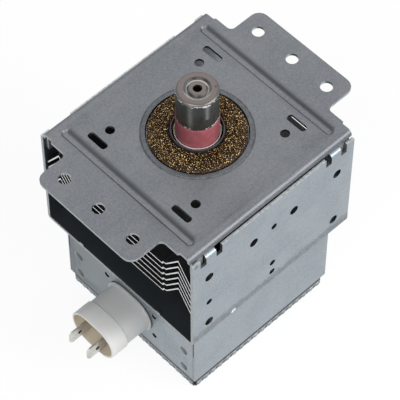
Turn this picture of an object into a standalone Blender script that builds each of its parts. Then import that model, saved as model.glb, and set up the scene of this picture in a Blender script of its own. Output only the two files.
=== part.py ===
"""Microwave oven magnetron with its yoke, magnets, cooling fins, tube and filter box.

Metres, +Z up. The origin is the centre of the filter box cover's underside, on the
antenna axis. X runs between the yoke's two side walls and -Y points to the connector.
Run it with blender --background --python part.py, or from Blender's text editor.
"""

import math

import bmesh
import bpy
from mathutils import Matrix, Vector

# Clearance between pieces that rest on or pass through each other
GAP = 0.0003

# Yoke frame, a strip folded to a U with tabs at its upper edges
YOKE_WIDTH = 0.0785
YOKE_DEPTH = 0.0796
YOKE_SHEET = 0.0012
YOKE_BEND = 0.0016
TAB_BEND = 0.0015
TAB_REACH = 0.0018
TAB_INSET = 0.0090
TAB_WIDTH = 0.0048
TAB_NOTCH = 0.0028
TAB_NOTCH_DEPTH = 0.0043
WALL_CLEARANCE = 0.0003
WALL_HOLE = 0.0039
WALL_PIN_HOLE = 0.0027
WALL_HOLE_INSET = 0.0080
WALL_HOLE_INNER_Y = 0.0100
WALL_HOLE_OUTER_DROP = 0.0169
WALL_HOLE_INNER_DROP = 0.0180
WALL_HOLE_LOW_RISE = 0.0087
WALL_PIN_RISES = (0.0133, 0.0075)
WALL_CORNER_PIN_RISE = 0.0218
NIB_X = 0.0207
NIB_WIDTH = 0.0020
NIB_DEPTH = 0.0009
NIB_RISE = 0.0008
RIVET_PLACE = 0.0220

# Upper yoke plate with its two mounting wings
PLATE_SHEET = 0.0012
PLATE_OVERHANG = 0.0008
PLATE_BEND = 0.0020
PLATE_LIP = 0.00275
PLATE_SHOULDER = 0.0026
EAR_DEPTH = 0.0080
EAR_INSET = 0.0012
EAR_CORNER = 0.0010
WING_WIDTH = 0.0494
WING_LENGTH = 0.0146
WING_CORNER = 0.0040
WING_FILLET = 0.0020
WING_HOLE = 0.00485
WING_HOLE_PITCH = 0.0175
WING_HOLE_INSET = 0.0077
SLOT_LENGTH = 0.0088
SLOT_WIDTH = 0.0028
SLOT_CORNER = 0.0011
SLOT_X = 0.0216
SLOT_TO_RIB = 0.0059
PLATE_HOLE = 0.0036
PLATE_HOLE_X = 0.0220
PLATE_HOLE_TO_SLOT = 0.0063
RIB_INSET = 0.0065
RIB_END_INSET = 0.0019
RIB_WIDTH = 0.0041
RIB_SHOULDER = 0.00035
RIB_SLOPE = 0.0010
RIB_DEPTH = 0.0009
RIM_WIDTH = 0.0018
RIM_RISE = 0.00025
RIM_SLOPE = 0.0003
SEAT_DEPTH = 0.0008

# Wire mesh gasket and the collar inside it
GASKET_RADIUS = 0.0181
GASKET_EDGE = 0.0006
GASKET_CROWN = 0.0021
GASKET_ROLL = 0.0022
GASKET_INNER_ROLL = 0.0009
GASKET_SWELL = 0.0001
COLLAR_RADIUS = 0.0098
COLLAR_WALL = 0.0004
COLLAR_FLANGE = 0.0023
COLLAR_HEIGHT = 0.0026

# Output end of the tube
SEAL_RADIUS = 0.0086
SEAL_WALL = 0.00035
SEAL_LEDGE = 0.0014
SEAL_FOOT = 0.0015
SEAL_ABOVE_PLATE = 0.0013
CERAMIC_RADIUS = 0.00795
CERAMIC_WALL = 0.0022
CERAMIC_SINK = 0.0007
CERAMIC_HEIGHT = 0.0102
CAP_RADIUS = 0.0078
CAP_WALL = 0.0005
CAP_HEIGHT = 0.0144
CAP_ROUND = 0.0011
CAP_RING_RADIUS = 0.0049
CAP_BOSS_RADIUS = 0.0030
CAP_RING_DEPTH = 0.0007
CAP_HOLE = 0.0016
EXHAUST_RADIUS = 0.0028
EXHAUST_WALL = 0.0005
EXHAUST_FLANGE = 0.0070
EXHAUST_HEIGHT = 0.0105
ANTENNA_LEAD_RADIUS = 0.0008
ANTENNA_LEAD_START = 0.0098
ANTENNA_LEAD_END = 0.0070

# Magnets, anode and pole pieces, stacked between the yoke's floor and plate
MAGNET_OVER_SHOULDER = 0.0016
MAGNET_BORE = 0.0105
MAGNET_HEIGHT = 0.0123
MAGNET_CHAMFER = 0.0010
POLE_SHEET = 0.0016
POLE_CONE_RADIUS = 0.0120
POLE_CONE_DEPTH = 0.0042
POLE_NOSE_RADIUS = 0.0065
POLE_BORE = 0.0047
ANODE_RADIUS = 0.0190
ANODE_BORE = 0.0170
ANODE_HEIGHT = 0.0220
ANODE_CHAMFER = 0.0004
VANE_COUNT = 10
VANE_TIP = 0.0045
VANE_THICKNESS = 0.0018
VANE_HEIGHT = 0.0095
STRAP_INNER_RADIUS = 0.0060
STRAP_WIDTH = 0.0008
STRAP_PITCH = 0.0017
STRAP_HEIGHT = 0.0010

# Cathode and its leads
FILAMENT_RADIUS = 0.0019
FILAMENT_WIRE = 0.00025
FILAMENT_TURNS = 7
HAT_RADIUS = 0.0036
HAT_HEIGHT = 0.0010
LEAD_RADIUS = 0.0006
SIDE_LEAD_X = 0.0026
STEM_LEAD_X = 0.0040
STEM_HEIGHT = 0.0080
STEM_RADIUS = 0.0086
STEM_DROP = 0.0082
TERMINAL_RADIUS = 0.0015
TERMINAL_FLANGE = 0.0021
TERMINAL_HEIGHT = 0.0032

# Cooling fins
FIN_COUNT = 6
FIN_PITCH = 0.0035
FIN_STACK_RISE = 0.0005
FIN_SHEET = 0.0005
FIN_INSET = 0.0009
FIN_LAND = 0.0033
FIN_JOGGLE = 0.0016
FIN_JOGGLE_RUN = 0.0005
FIN_SHOULDER = 0.0013
FIN_PEAK_SHARE = 0.555
FIN_SLOPE = 1.333
FIN_COLLAR = 0.0014
FIN_COLLAR_SLOPE = 0.0007

# Filter box, its cover and the rivets that hold it under the yoke
BOX_WIDTH = 0.0696
BOX_DEPTH = 0.0697
BOX_HEIGHT = 0.0365
BOX_SHEET = 0.0005
BOX_BEND = 0.0008
BOX_SEAM = 0.00015
BOX_STEM_HOLE = 0.0102
COVER_EXPOSED = 0.0062
COVER_SHEET = 0.0005
COVER_BEND = 0.0006
DIMPLE_INSET = 0.0060
DIMPLE_HEIGHTS = (0.0217, 0.0105)
DIMPLE_RADIUS = 0.0019
DIMPLE_DEPTH = 0.0004
DIMPLE_FLOOR_SHARE = 0.55
RIVET_SHANK = 0.00135
RIVET_HEAD = 0.0026
RIVET_HEAD_HEIGHT = 0.0007

# Connector and feed-through capacitor on the box's front wall
CONNECTOR_Z = 0.0203
SHELL_HALF_WIDTH = 0.0109
SHELL_HALF_HEIGHT = 0.0077
SHELL_BODY_LENGTH = 0.0117
SHELL_BASE_RIM = 0.0010
SHELL_BASE_SHEET = 0.0006
COLLAR_STEP = 0.0005
MOUTH_LENGTH = 0.0075
MOUTH_WALL = 0.0010
POTTING_HALF_WIDTH = 0.0092
POTTING_HALF_HEIGHT = 0.0060
CAPACITOR_STEP = 0.0010
CAPACITOR_LENGTH = 0.0090
FLANGE_SHEET = 0.0006
FLANGE_HALF_WIDTH = 0.0152
FLANGE_HALF_HEIGHT = 0.0092
FLANGE_CORNER = 0.0020
FLANGE_HOLE = 0.0024
FLANGE_HOLE_X = 0.0129
FLANGE_HOLE_Z = 0.00665
TAB_BLADE_WIDTH = 0.00635
TAB_BLADE_SHEET = 0.0008
TAB_BLADE_PITCH = 0.00974
TAB_BLADE_PROUD = 0.0070
TAB_BLADE_CHAMFER = 0.0011
TAB_BLADE_HOLE = 0.0016
TAB_BLADE_HOLE_INSET = 0.0048
POST_RADIUS = 0.0009
POST_PROUD = 0.0030

# Chokes between the stem's terminals and the capacitor
CHOKE_X = 0.0150
CHOKE_RADIUS = 0.0033
CHOKE_WIRE = 0.0006
CHOKE_TURNS = 11
CHOKE_FRONT = 0.0140
CHOKE_LENGTH = 0.0262
CORE_RADIUS = 0.0023
CORE_OVERHANG = 0.0010

# Sizes and places that follow from the ones above
YOKE_INSIDE = YOKE_WIDTH / 2 - YOKE_SHEET - GAP
TAB_Y = YOKE_DEPTH / 2 - TAB_INSET
WALL_HOLE_OUTER_Y = YOKE_DEPTH / 2 - WALL_HOLE_INSET
PLATE_HALF_DEPTH = YOKE_DEPTH / 2 + PLATE_OVERHANG
PLATE_FLAT = YOKE_INSIDE - PLATE_BEND
WING_REACH = PLATE_HALF_DEPTH + WING_LENGTH
WING_HOLE_Y = WING_REACH - WING_HOLE_INSET
RIB_Y = PLATE_HALF_DEPTH - RIB_INSET
RIB_HALF_LENGTH = PLATE_FLAT - RIB_END_INSET
SLOT_Y = RIB_Y - SLOT_TO_RIB
PLATE_HOLE_Y = SLOT_Y - PLATE_HOLE_TO_SLOT
FIN_HALF_DEPTH = YOKE_DEPTH / 2 - FIN_INSET
FIN_FLAT = ANODE_RADIUS + GAP + FIN_LAND
FIN_SHOULDER_X = FIN_FLAT + FIN_JOGGLE_RUN + FIN_SHOULDER
FIN_PEAK_X = FIN_FLAT + FIN_PEAK_SHARE * (YOKE_INSIDE - FIN_FLAT)
FIN_PEAK_RISE = FIN_JOGGLE + FIN_SLOPE * (FIN_PEAK_X - FIN_SHOULDER_X)
MAGNET_RADIUS = FIN_SHOULDER_X + MAGNET_OVER_SHOULDER
DIMPLE_X = BOX_WIDTH / 2 - DIMPLE_INSET
BOX_TOP = COVER_EXPOSED + BOX_HEIGHT
YOKE_BASE = BOX_TOP + GAP
YOKE_FLOOR = YOKE_BASE + YOKE_SHEET
LOWER_MAGNET_Z = YOKE_FLOOR + GAP
LOWER_POLE_Z = LOWER_MAGNET_Z + MAGNET_HEIGHT + GAP
ANODE_Z = LOWER_POLE_Z + POLE_SHEET + GAP
UPPER_POLE_Z = ANODE_Z + ANODE_HEIGHT + GAP
UPPER_MAGNET_Z = UPPER_POLE_Z + POLE_SHEET + GAP
COVER_TOP = min(DIMPLE_HEIGHTS) - DIMPLE_RADIUS - GAP
PLATE_TOP = UPPER_MAGNET_Z + MAGNET_HEIGHT + GAP + SEAT_DEPTH + PLATE_SHEET
SEAT_Z = PLATE_TOP - SEAT_DEPTH
WALL_TOP = PLATE_TOP - PLATE_LIP - WALL_CLEARANCE
TUBE_MIDDLE = ANODE_Z + ANODE_HEIGHT / 2
VANE_TOP = TUBE_MIDDLE + VANE_HEIGHT / 2
SEAL_TOP = PLATE_TOP + SEAL_ABOVE_PLATE
CERAMIC_Z = SEAL_TOP - CERAMIC_SINK
CAP_Z = CERAMIC_Z + CERAMIC_HEIGHT + GAP
STEM_TOP = YOKE_BASE - STEM_DROP
STEM_BOTTOM = STEM_TOP - STEM_HEIGHT
TERMINAL_TOP = STEM_BOTTOM - GAP
SEAT_RADIUS = GASKET_RADIUS + GAP
COLLAR_HOLE = COLLAR_RADIUS - COLLAR_WALL - GAP
RIVET_HOLE = RIVET_SHANK + GAP
BOX_FRONT = -BOX_DEPTH / 2
SHELL_BACK = BOX_FRONT - GAP
SHELL_STEP_Y = SHELL_BACK - SHELL_BODY_LENGTH
MOUTH_Y = SHELL_STEP_Y - MOUTH_LENGTH
POTTING_FRONT = SHELL_STEP_Y
FLANGE_FRONT = BOX_FRONT + BOX_SHEET + GAP
CAPACITOR_FRONT = FLANGE_FRONT + FLANGE_SHEET + GAP
CAPACITOR_BACK = CAPACITOR_FRONT + CAPACITOR_LENGTH
POTTING_BACK = CAPACITOR_FRONT - GAP
POST_END = CAPACITOR_BACK + POST_PROUD

# Facets of round pieces
FINE = 48
ROUND = 32
SMALL = 16
TINY = 12
END_STEPS = 10
BEND_STEPS = 4
CORNER_STEPS = 4
WIRE_SIDES = 8
THIN_WIRE_SIDES = 6
COIL_STEPS = 9

# A point this close to a crease lies on it
CREASE_REACH = 2e-6


def clear_scene():
    """Remove every object that the file starts with."""
    for item in list(bpy.data.objects):
        bpy.data.objects.remove(item, do_unlink=True)


def finish(name, colour, roughness, metallic):
    """Return a plain material for one kind of piece."""
    made = bpy.data.materials.get(name) or bpy.data.materials.new(name)
    made.use_nodes = True
    shader = made.node_tree.nodes["Principled BSDF"]
    shader.inputs["Base Color"].default_value = (*colour, 1.0)
    shader.inputs["Roughness"].default_value = roughness
    shader.inputs["Metallic"].default_value = metallic
    return made


def finishes():
    """Return the finish of every kind of piece by its plain name."""
    return {
        "zinc": finish("zinc_plated_steel", (0.42, 0.44, 0.46), 0.42, 0.85),
        "cap": finish("antenna_cap_steel", (0.45, 0.43, 0.40), 0.30, 0.9),
        "mesh": finish("gasket_wire_mesh", (0.42, 0.28, 0.10), 0.45, 0.8),
        "pink": finish("pink_alumina", (0.42, 0.10, 0.13), 0.55, 0.0),
        "white": finish("white_alumina", (0.80, 0.78, 0.74), 0.50, 0.0),
        "copper": finish("copper", (0.72, 0.36, 0.20), 0.35, 0.95),
        "ferrite": finish("ferrite", (0.03, 0.03, 0.035), 0.60, 0.0),
        "aluminium": finish("fin_aluminium", (0.70, 0.71, 0.72), 0.40, 0.9),
        "tungsten": finish("tungsten", (0.25, 0.25, 0.27), 0.40, 0.9),
        "shell": finish("connector_plastic", (0.78, 0.78, 0.75), 0.45, 0.0),
        "potting": finish("potting_resin", (0.48, 0.42, 0.34), 0.60, 0.0),
        "tab": finish("tinned_terminal", (0.62, 0.62, 0.60), 0.30, 0.95),
    }


def add_object(name, bm, material, place=(0.0, 0.0, 0.0)):
    """Turn a bmesh into a named object with outward faces and smooth round sides."""
    bmesh.ops.recalc_face_normals(bm, faces=bm.faces[:])
    mesh = bpy.data.meshes.new(name)
    bm.to_mesh(mesh)
    bm.free()
    return add_mesh(name, mesh, material, place)


def add_mesh(name, mesh, material, place=(0.0, 0.0, 0.0)):
    """Put a mesh, which may be shared, into the scene as a named object."""
    if not mesh.materials:
        mesh.materials.append(material)
    mesh.shade_smooth()
    mesh.set_sharp_from_angle(angle=math.radians(28))
    item = bpy.data.objects.new(name, mesh)
    item.location = place
    bpy.context.collection.objects.link(item)
    return item


def combine(item, tool_bm, operation):
    """Cut or join a shape to a piece with a Boolean modifier, and hide the tool."""
    tool_mesh = bpy.data.meshes.new(item.name + "_tool")
    bmesh.ops.recalc_face_normals(tool_bm, faces=tool_bm.faces[:])
    tool_bm.to_mesh(tool_mesh)
    tool_bm.free()
    tool = bpy.data.objects.new(item.name + "_tool", tool_mesh)
    tool.hide_render = True
    tool.display_type = "WIRE"
    tool.parent = item
    bpy.context.collection.objects.link(tool)
    step = item.modifiers.new(operation.lower(), "BOOLEAN")
    step.operation = operation
    step.solver = "EXACT"
    step.object = tool


def circle(radius, count, x=0.0, y=0.0):
    """Return a ring of points around (x, y), counter-clockwise."""
    turn = 2 * math.pi / count
    return [(x + radius * math.cos(turn * k), y + radius * math.sin(turn * k)) for k in range(count)]


def rounded(corners, steps=CORNER_STEPS):
    """Return an outline whose corners (x, y, radius) are arcs. The corners run in order."""
    points = []
    count = len(corners)
    for k, (x, y, radius) in enumerate(corners):
        here = Vector((x, y))
        back = (Vector(corners[k - 1][:2]) - here).normalized()
        ahead = (Vector(corners[(k + 1) % count][:2]) - here).normalized()
        if radius == 0:
            points.append((x, y))
            continue
        half = back.angle(ahead) / 2
        centre = here + (back + ahead).normalized() * radius / math.sin(half)
        first = here + back * radius / math.tan(half) - centre
        last = here + ahead * radius / math.tan(half) - centre
        sweep = first.angle_signed(last)
        for step in range(steps + 1):
            arm = first.copy()
            arm.rotate(Matrix.Rotation(-sweep * step / steps, 2))
            points.append(tuple(centre + arm))
    return points


def rectangle(half_x, half_y, radius=0.0, x=0.0, y=0.0):
    """Return a rectangle with rounded corners around (x, y), counter-clockwise."""
    signs = ((1, -1), (1, 1), (-1, 1), (-1, -1))
    return rounded([(x + sx * half_x, y + sy * half_y, radius) for sx, sy in signs])


def stadium(half_x, half_y, x=0.0, y=0.0):
    """Return an outline with straight long sides along X and half-round ends."""
    reach = half_x - half_y
    angles = spread(0, math.pi, END_STEPS)
    right = [(x + reach + half_y * math.sin(a), y - half_y * math.cos(a)) for a in angles]
    left = [(x - reach - half_y * math.sin(a), y + half_y * math.cos(a)) for a in angles]
    return right + left


def spread(first, last, steps):
    """Return steps + 1 even values from first to last."""
    return [first + (last - first) * k / steps for k in range(steps + 1)]


def turned(profile, segments=ROUND):
    """Turn a closed outline of (radius, z) points about Z into a solid."""
    bm = bmesh.new()
    rings = []
    for radius, z in profile:
        if radius == 0:
            rings.append([bm.verts.new((0, 0, z))])
        else:
            rings.append([bm.verts.new((px, py, z)) for px, py in circle(radius, segments)])
    for ring, after in zip(rings, rings[1:] + rings[:1]):
        if len(ring) == 1 and len(after) == 1:
            continue
        for k in range(segments):
            m = (k + 1) % segments
            corners = [loop[i % len(loop)] for loop, i in ((ring, k), (ring, m), (after, m), (after, k))]
            bm.faces.new(list(dict.fromkeys(corners)))
    return bm


def tube_wall(outer, wall, low, high):
    """Return the outline of a plain ring from its outer radius, wall and two heights."""
    return [(outer - wall, low), (outer, low), (outer, high), (outer - wall, high)]


def lofted(rings, closed):
    """Join rings of 3-D points, in order, to a solid. A closed one joins the last to the first."""
    bm = bmesh.new()
    loops = [[bm.verts.new(point) for point in ring] for ring in rings]
    count = len(loops[0])
    pairs = list(zip(loops, loops[1:] + loops[:1])) if closed else list(zip(loops, loops[1:]))
    for ring, after in pairs:
        for k in range(count):
            m = (k + 1) % count
            bm.faces.new((ring[k], ring[m], after[m], after[k]))
    if not closed:
        bm.faces.new(loops[0])
        bm.faces.new(loops[-1])
    return bm


def prism(outline, low, high, axis="Z"):
    """Extrude an outline along Z, or along Y with the outline's second value as Z."""
    if axis == "Y":
        return lofted([[(x, level, z) for x, z in outline] for level in (low, high)], False)
    return lofted([[(x, y, level) for x, y in outline] for level in (low, high)], False)


def merged(shapes):
    """Put several separate shapes into one bmesh, as the tool of one Boolean."""
    whole = bmesh.new()
    for shape in shapes:
        mesh = bpy.data.meshes.new("shape")
        shape.to_mesh(mesh)
        shape.free()
        whole.from_mesh(mesh)
        bpy.data.meshes.remove(mesh)
    return whole


def wire(path, radius, sides=WIRE_SIDES):
    """Return a round wire along a list of points, with flat ends."""
    points = [Vector(point) for point in path]
    heading = (points[1] - points[0]).normalized()
    side = heading.orthogonal().normalized()
    rings = []
    for k, point in enumerate(points):
        ahead = points[min(k + 1, len(points) - 1)] - points[max(k - 1, 0)]
        side = (side - ahead.normalized() * side.dot(ahead.normalized())).normalized()
        across = ahead.normalized().cross(side)
        angles = [2 * math.pi * m / sides for m in range(sides)]
        rings.append([point + radius * (side * math.cos(a) + across * math.sin(a)) for a in angles])
    return lofted(rings, False)


def smooth_path(points, steps=4):
    """Return points along a smooth curve through the given ones."""
    knots = [Vector(point) for point in points]
    ends = [knots[0] * 2 - knots[1]] + knots + [knots[-1] * 2 - knots[-2]]
    path = []
    for a, b, c, d in zip(ends, ends[1:], ends[2:], ends[3:]):
        for step in range(steps):
            t = step / steps
            straight = 2 * b + (c - a) * t
            curve = (2 * a - 5 * b + 4 * c - d) * t**2 + (3 * b - a - 3 * c + d) * t**3
            path.append((straight + curve) / 2)
    return path + [knots[-1]]


def helix(centre, radius, rise, turns, start=0.0):
    """Return points of a coil that climbs along Z from its centre's height."""
    count = turns * COIL_STEPS
    points = []
    for k in range(count + 1):
        angle = start + 2 * math.pi * k / COIL_STEPS
        x = centre[0] + radius * math.cos(angle)
        y = centre[1] + radius * math.sin(angle)
        points.append((x, y, centre[2] + rise * k / count))
    return points


def flat_sheet(outline, holes, pressings, low, high):
    """Cut a flat sheet between two levels. A pressing is (rings of (outline, height), floor or not)."""
    bm = bmesh.new()
    known = {}

    def vertex(x, y, z):
        key = (round(x, 7), round(y, 7), round(z, 7))
        if key not in known:
            known[key] = bm.verts.new((x, y, z))
        return known[key]

    def loop_edges(points, z):
        ring = [vertex(x, y, z) for x, y in points]
        pairs = zip(ring, ring[1:] + ring[:1])
        return [bm.edges.get(pair) or bm.edges.new(pair) for pair in pairs]

    skins = []
    for level in (high, low):
        edges = loop_edges(outline, level)
        for hole in holes:
            edges += loop_edges(hole, level)
        for rings, floor in pressings:
            edges += loop_edges(rings[0][0], level + rings[0][1])
        made = bmesh.ops.triangle_fill(bm, use_beauty=True, edges=edges)["geom"]
        skins += [face for face in made if isinstance(face, bmesh.types.BMFace)]
        for rings, floor in pressings:
            for (points, lift), (after, after_lift) in zip(rings, rings[1:]):
                for k in range(len(points)):
                    m = (k + 1) % len(points)
                    bm.faces.new(
                        (
                            vertex(*points[k], level + lift),
                            vertex(*points[m], level + lift),
                            vertex(*after[m], level + after_lift),
                            vertex(*after[k], level + after_lift),
                        )
                    )
            if floor:
                last, lift = rings[-1]
                bmesh.ops.triangle_fill(bm, use_beauty=True, edges=loop_edges(last, level + lift))
    rims = [(outline, 0.0)] + [(hole, 0.0) for hole in holes]
    rims += [rings[-1] for rings, floor in pressings if not floor]
    for points, lift in rims:
        for k in range(len(points)):
            m = (k + 1) % len(points)
            corners = (
                vertex(*points[k], low + lift),
                vertex(*points[m], low + lift),
                vertex(*points[m], high + lift),
                vertex(*points[k], high + lift),
            )
            bm.faces.new(corners)
    return bm


def bent_path(legs):
    """Follow runs and bends of a folded sheet's reference face and return its (x, z) points.

    A leg is ("run", length) or ("bend", degrees, radius). Positive bends turn up.
    """
    place = Vector((0.0, 0.0))
    heading = 0.0
    points = [place.copy()]
    for leg in legs:
        if leg[0] == "run":
            place = place + leg[1] * Vector((math.cos(heading), math.sin(heading)))
            points.append(place.copy())
            continue
        turn = math.radians(leg[1])
        side = math.copysign(1.0, turn)
        centre = place + leg[2] * side * Vector((-math.sin(heading), math.cos(heading)))
        for angle in spread(heading, heading + turn, BEND_STEPS)[1:]:
            place = centre - leg[2] * side * Vector((-math.sin(angle), math.cos(angle)))
            points.append(place.copy())
        heading += turn
    return points


def path_length(points):
    """Return the developed length of a folded path."""
    return sum((b - a).length for a, b in zip(points, points[1:]))


def miters(points):
    """Return the offset direction at each point, so that offset faces keep their thickness."""
    normals = []
    for a, b in zip(points, points[1:]):
        run = (b - a).normalized()
        normals.append(Vector((-run.y, run.x)))
    result = [normals[0]]
    for before, after in zip(normals, normals[1:]):
        both = (before + after).normalized()
        result.append(both / both.dot(after))
    return result + [normals[-1]]


def fold(bm, axis, path_for, longest):
    """Fold a flat sheet to both sides of the middle along X (axis 0) or Y (axis 1).

    path_for takes the place across the fold and gives the path to follow there, or None.
    longest is the path whose points say where the sheet is creased.
    """
    reach = 0.0
    for a, b in zip(longest, longest[1:]):
        reach += (b - a).length
        for side in (1.0, -1.0):
            crease = Vector((0, 0, 0))
            crease[axis] = side * reach
            facing = Vector((0, 0, 0))
            facing[axis] = 1.0
            parts = bm.verts[:] + bm.edges[:] + bm.faces[:]
            bmesh.ops.bisect_plane(bm, geom=parts, dist=1e-7, plane_co=crease, plane_no=facing)
    for vert in bm.verts:
        path = path_for(vert.co[0], vert.co[1])
        if path is None:
            continue
        tips = miters(path)
        along = abs(vert.co[axis])
        walked = 0.0
        for k, (a, b) in enumerate(zip(path, path[1:])):
            length = (b - a).length
            if along <= walked + length + CREASE_REACH or k == len(path) - 2:
                break
            walked += length
        share = (along - walked) / length
        run = (b - a).normalized()
        if abs(along - walked) < CREASE_REACH:
            offset = tips[k]
        elif abs(along - walked - length) < CREASE_REACH:
            offset = tips[k + 1]
        else:
            offset = Vector((-run.y, run.x))
        spot = a.lerp(b, share) + vert.co.z * offset
        vert.co[axis] = math.copysign(spot.x, vert.co[axis])
        vert.co.z = spot.y


def merge_flats(bm):
    """Merge faces that lie in one plane, which leaves a folded sheet with few faces."""
    bmesh.ops.recalc_face_normals(bm, faces=bm.faces[:])
    bmesh.ops.dissolve_limit(bm, angle_limit=math.radians(0.2), verts=bm.verts[:], edges=bm.edges[:])
    return bm


def mirrored_places(x, y):
    """Return the four places that mirror (x, y) in both axes."""
    return [(x, y), (-x, y), (-x, -y), (x, -y)]


def yoke_frame(look):
    """The U of zinc plated steel, with its clinch tabs, holes and locating nibs."""
    run = YOKE_WIDTH / 2 - YOKE_BEND
    rise = WALL_TOP - YOKE_BASE - YOKE_BEND
    plain = bent_path([("run", run), ("bend", 90, YOKE_BEND), ("run", rise)])
    legs = [("run", run), ("bend", 90, YOKE_BEND), ("run", rise - TAB_BEND)]
    tabbed = bent_path(legs + [("bend", 90, TAB_BEND), ("run", TAB_REACH - TAB_BEND + YOKE_SHEET)])
    top = path_length(plain)
    tip = path_length(tabbed)
    wall_start = top - rise

    def developed(z):
        return wall_start + z - YOKE_BASE - YOKE_BEND

    half = YOKE_DEPTH / 2
    low_notch = developed(WALL_TOP - TAB_NOTCH_DEPTH)
    edge = [(top, -half)]
    for side in (-1.0, 1.0):
        inner = TAB_Y - TAB_WIDTH / 2
        outer = TAB_Y + TAB_WIDTH / 2
        stops = [outer + TAB_NOTCH, outer, inner, inner - TAB_NOTCH]
        steps = [(top, stops[0]), (low_notch, stops[0]), (low_notch, stops[1]), (tip, stops[1])]
        steps += [(tip, stops[2]), (low_notch, stops[2]), (low_notch, stops[3]), (top, stops[3])]
        if side < 0:
            edge += [(s, -y) for s, y in steps]
        else:
            edge += [(s, y) for s, y in reversed(steps)]
    edge.append((top, half))
    outline = edge + [(-s, -y) for s, y in edge]
    holes = [circle(BOX_STEM_HOLE, ROUND)]
    holes += [circle(RIVET_HOLE, SMALL, x, y) for x, y in mirrored_places(RIVET_PLACE, RIVET_PLACE)]
    upper = developed(PLATE_TOP - WALL_HOLE_OUTER_DROP)
    inner_row = developed(PLATE_TOP - WALL_HOLE_INNER_DROP)
    lower = developed(YOKE_BASE + WALL_HOLE_LOW_RISE)
    for side in (1.0, -1.0):
        for y in (WALL_HOLE_OUTER_Y, -WALL_HOLE_OUTER_Y):
            holes.append(circle(WALL_HOLE / 2, SMALL, side * upper, y))
            holes.append(circle(WALL_HOLE / 2, SMALL, side * lower, y))
        for y in (WALL_HOLE_INNER_Y, -WALL_HOLE_INNER_Y):
            holes.append(circle(WALL_HOLE / 2, SMALL, side * inner_row, y))
        holes.append(circle(WALL_PIN_HOLE / 2, SMALL, side * inner_row, 0.0))
        for rise_z in WALL_PIN_RISES:
            holes.append(circle(WALL_PIN_HOLE / 2, SMALL, side * developed(YOKE_BASE + rise_z), 0.0))
        pin = developed(YOKE_BASE + WALL_CORNER_PIN_RISE)
        holes.append(circle(WALL_PIN_HOLE / 2, SMALL, side * pin, -WALL_HOLE_OUTER_Y))
    bm = flat_sheet(outline, holes, [], 0.0, YOKE_SHEET)

    def path_for(x, y):
        on_tab = abs(abs(y) - TAB_Y) < (TAB_WIDTH + TAB_NOTCH) / 2
        return tabbed if on_tab else plain

    fold(bm, 0, path_for, tabbed)
    frame = add_object("yoke_frame", merge_flats(bm), look["zinc"], (0.0, 0.0, YOKE_BASE))
    nibs = []
    for x, y in mirrored_places(NIB_X, half - NIB_DEPTH / 2):
        outline = rectangle(NIB_WIDTH / 2, NIB_DEPTH / 2, 0.0, x, y)
        nibs.append(prism(outline, YOKE_SHEET / 2, YOKE_SHEET + NIB_RISE))
    combine(frame, merged(nibs), "UNION")


def wing_outline(side_x):
    """Return the plate's outline from its right shoulder round the +Y wing to its left one."""
    deep = PLATE_HALF_DEPTH
    wing = WING_WIDTH / 2
    step_x = side_x - PLATE_SHOULDER
    return [
        (step_x, YOKE_DEPTH / 2, 0.0),
        (step_x - PLATE_SHEET / 2, deep, 0.0),
        (wing, deep, WING_FILLET),
        (wing, WING_REACH, WING_CORNER),
        (-wing, WING_REACH, WING_CORNER),
        (-wing, deep, WING_FILLET),
        (-step_x + PLATE_SHEET / 2, deep, 0.0),
        (-step_x, YOKE_DEPTH / 2, 0.0),
    ]


def upper_yoke_plate(look):
    """The top plate, with its wings, rolled lips, pressed ribs and gasket seat.

    Each lip ends in two ears, which stand between the yoke's walls and keep the plate in place.
    """
    lip = PLATE_LIP - PLATE_BEND
    path = bent_path([("run", PLATE_FLAT), ("bend", -90, PLATE_BEND), ("run", lip + EAR_DEPTH)])
    ear_tip = path_length(path)
    tip = ear_tip - EAR_DEPTH
    ear_start = TAB_Y + TAB_WIDTH / 2 + GAP
    ear_end = YOKE_DEPTH / 2 - EAR_INSET
    ear = [
        (tip, ear_start, 0.0),
        (ear_tip, ear_start, EAR_CORNER),
        (ear_tip, ear_end, EAR_CORNER),
        (tip, ear_end, 0.0),
        (tip, YOKE_DEPTH / 2, 0.0),
    ]
    half = [(x, -y, r) for x, y, r in reversed(ear)] + ear + wing_outline(PLATE_FLAT)
    outline = rounded(half + [(-x, -y, r) for x, y, r in half])
    holes = []
    for side in (1.0, -1.0):
        for k in (-1, 0, 1):
            holes.append(circle(WING_HOLE / 2, SMALL, k * WING_HOLE_PITCH, side * WING_HOLE_Y))
    for x, y in mirrored_places(SLOT_X, SLOT_Y):
        holes.append(rectangle(SLOT_LENGTH / 2, SLOT_WIDTH / 2, SLOT_CORNER, x, y))
    for x, y in mirrored_places(PLATE_HOLE_X, PLATE_HOLE_Y):
        holes.append(circle(PLATE_HOLE / 2, SMALL, x, y))
    pressings = []
    steps = ((0.0, 0.0), (RIB_SHOULDER, -RIB_SHOULDER / 2), (RIB_SLOPE, -RIB_DEPTH))
    for y in (RIB_Y, -RIB_Y):
        rings = []
        for inset, z in steps:
            rings.append((stadium(RIB_HALF_LENGTH - inset, RIB_WIDTH / 2 - inset, 0.0, y), z))
        pressings.append((rings, True))
    rim = SEAT_RADIUS + RIM_WIDTH
    rings = [
        (circle(rim + RIM_SLOPE, FINE), 0.0),
        (circle(rim, FINE), RIM_RISE),
        (circle(SEAT_RADIUS + RIM_SLOPE, FINE), RIM_RISE),
        (circle(SEAT_RADIUS, FINE), -SEAT_DEPTH),
        (circle(COLLAR_HOLE, FINE), -SEAT_DEPTH),
    ]
    pressings.append((rings, False))
    bm = flat_sheet(outline, holes, pressings, -PLATE_SHEET, 0.0)
    fold(bm, 0, lambda x, y: path, path)
    add_object("upper_yoke_plate", merge_flats(bm), look["zinc"], (0.0, 0.0, PLATE_TOP))


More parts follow.
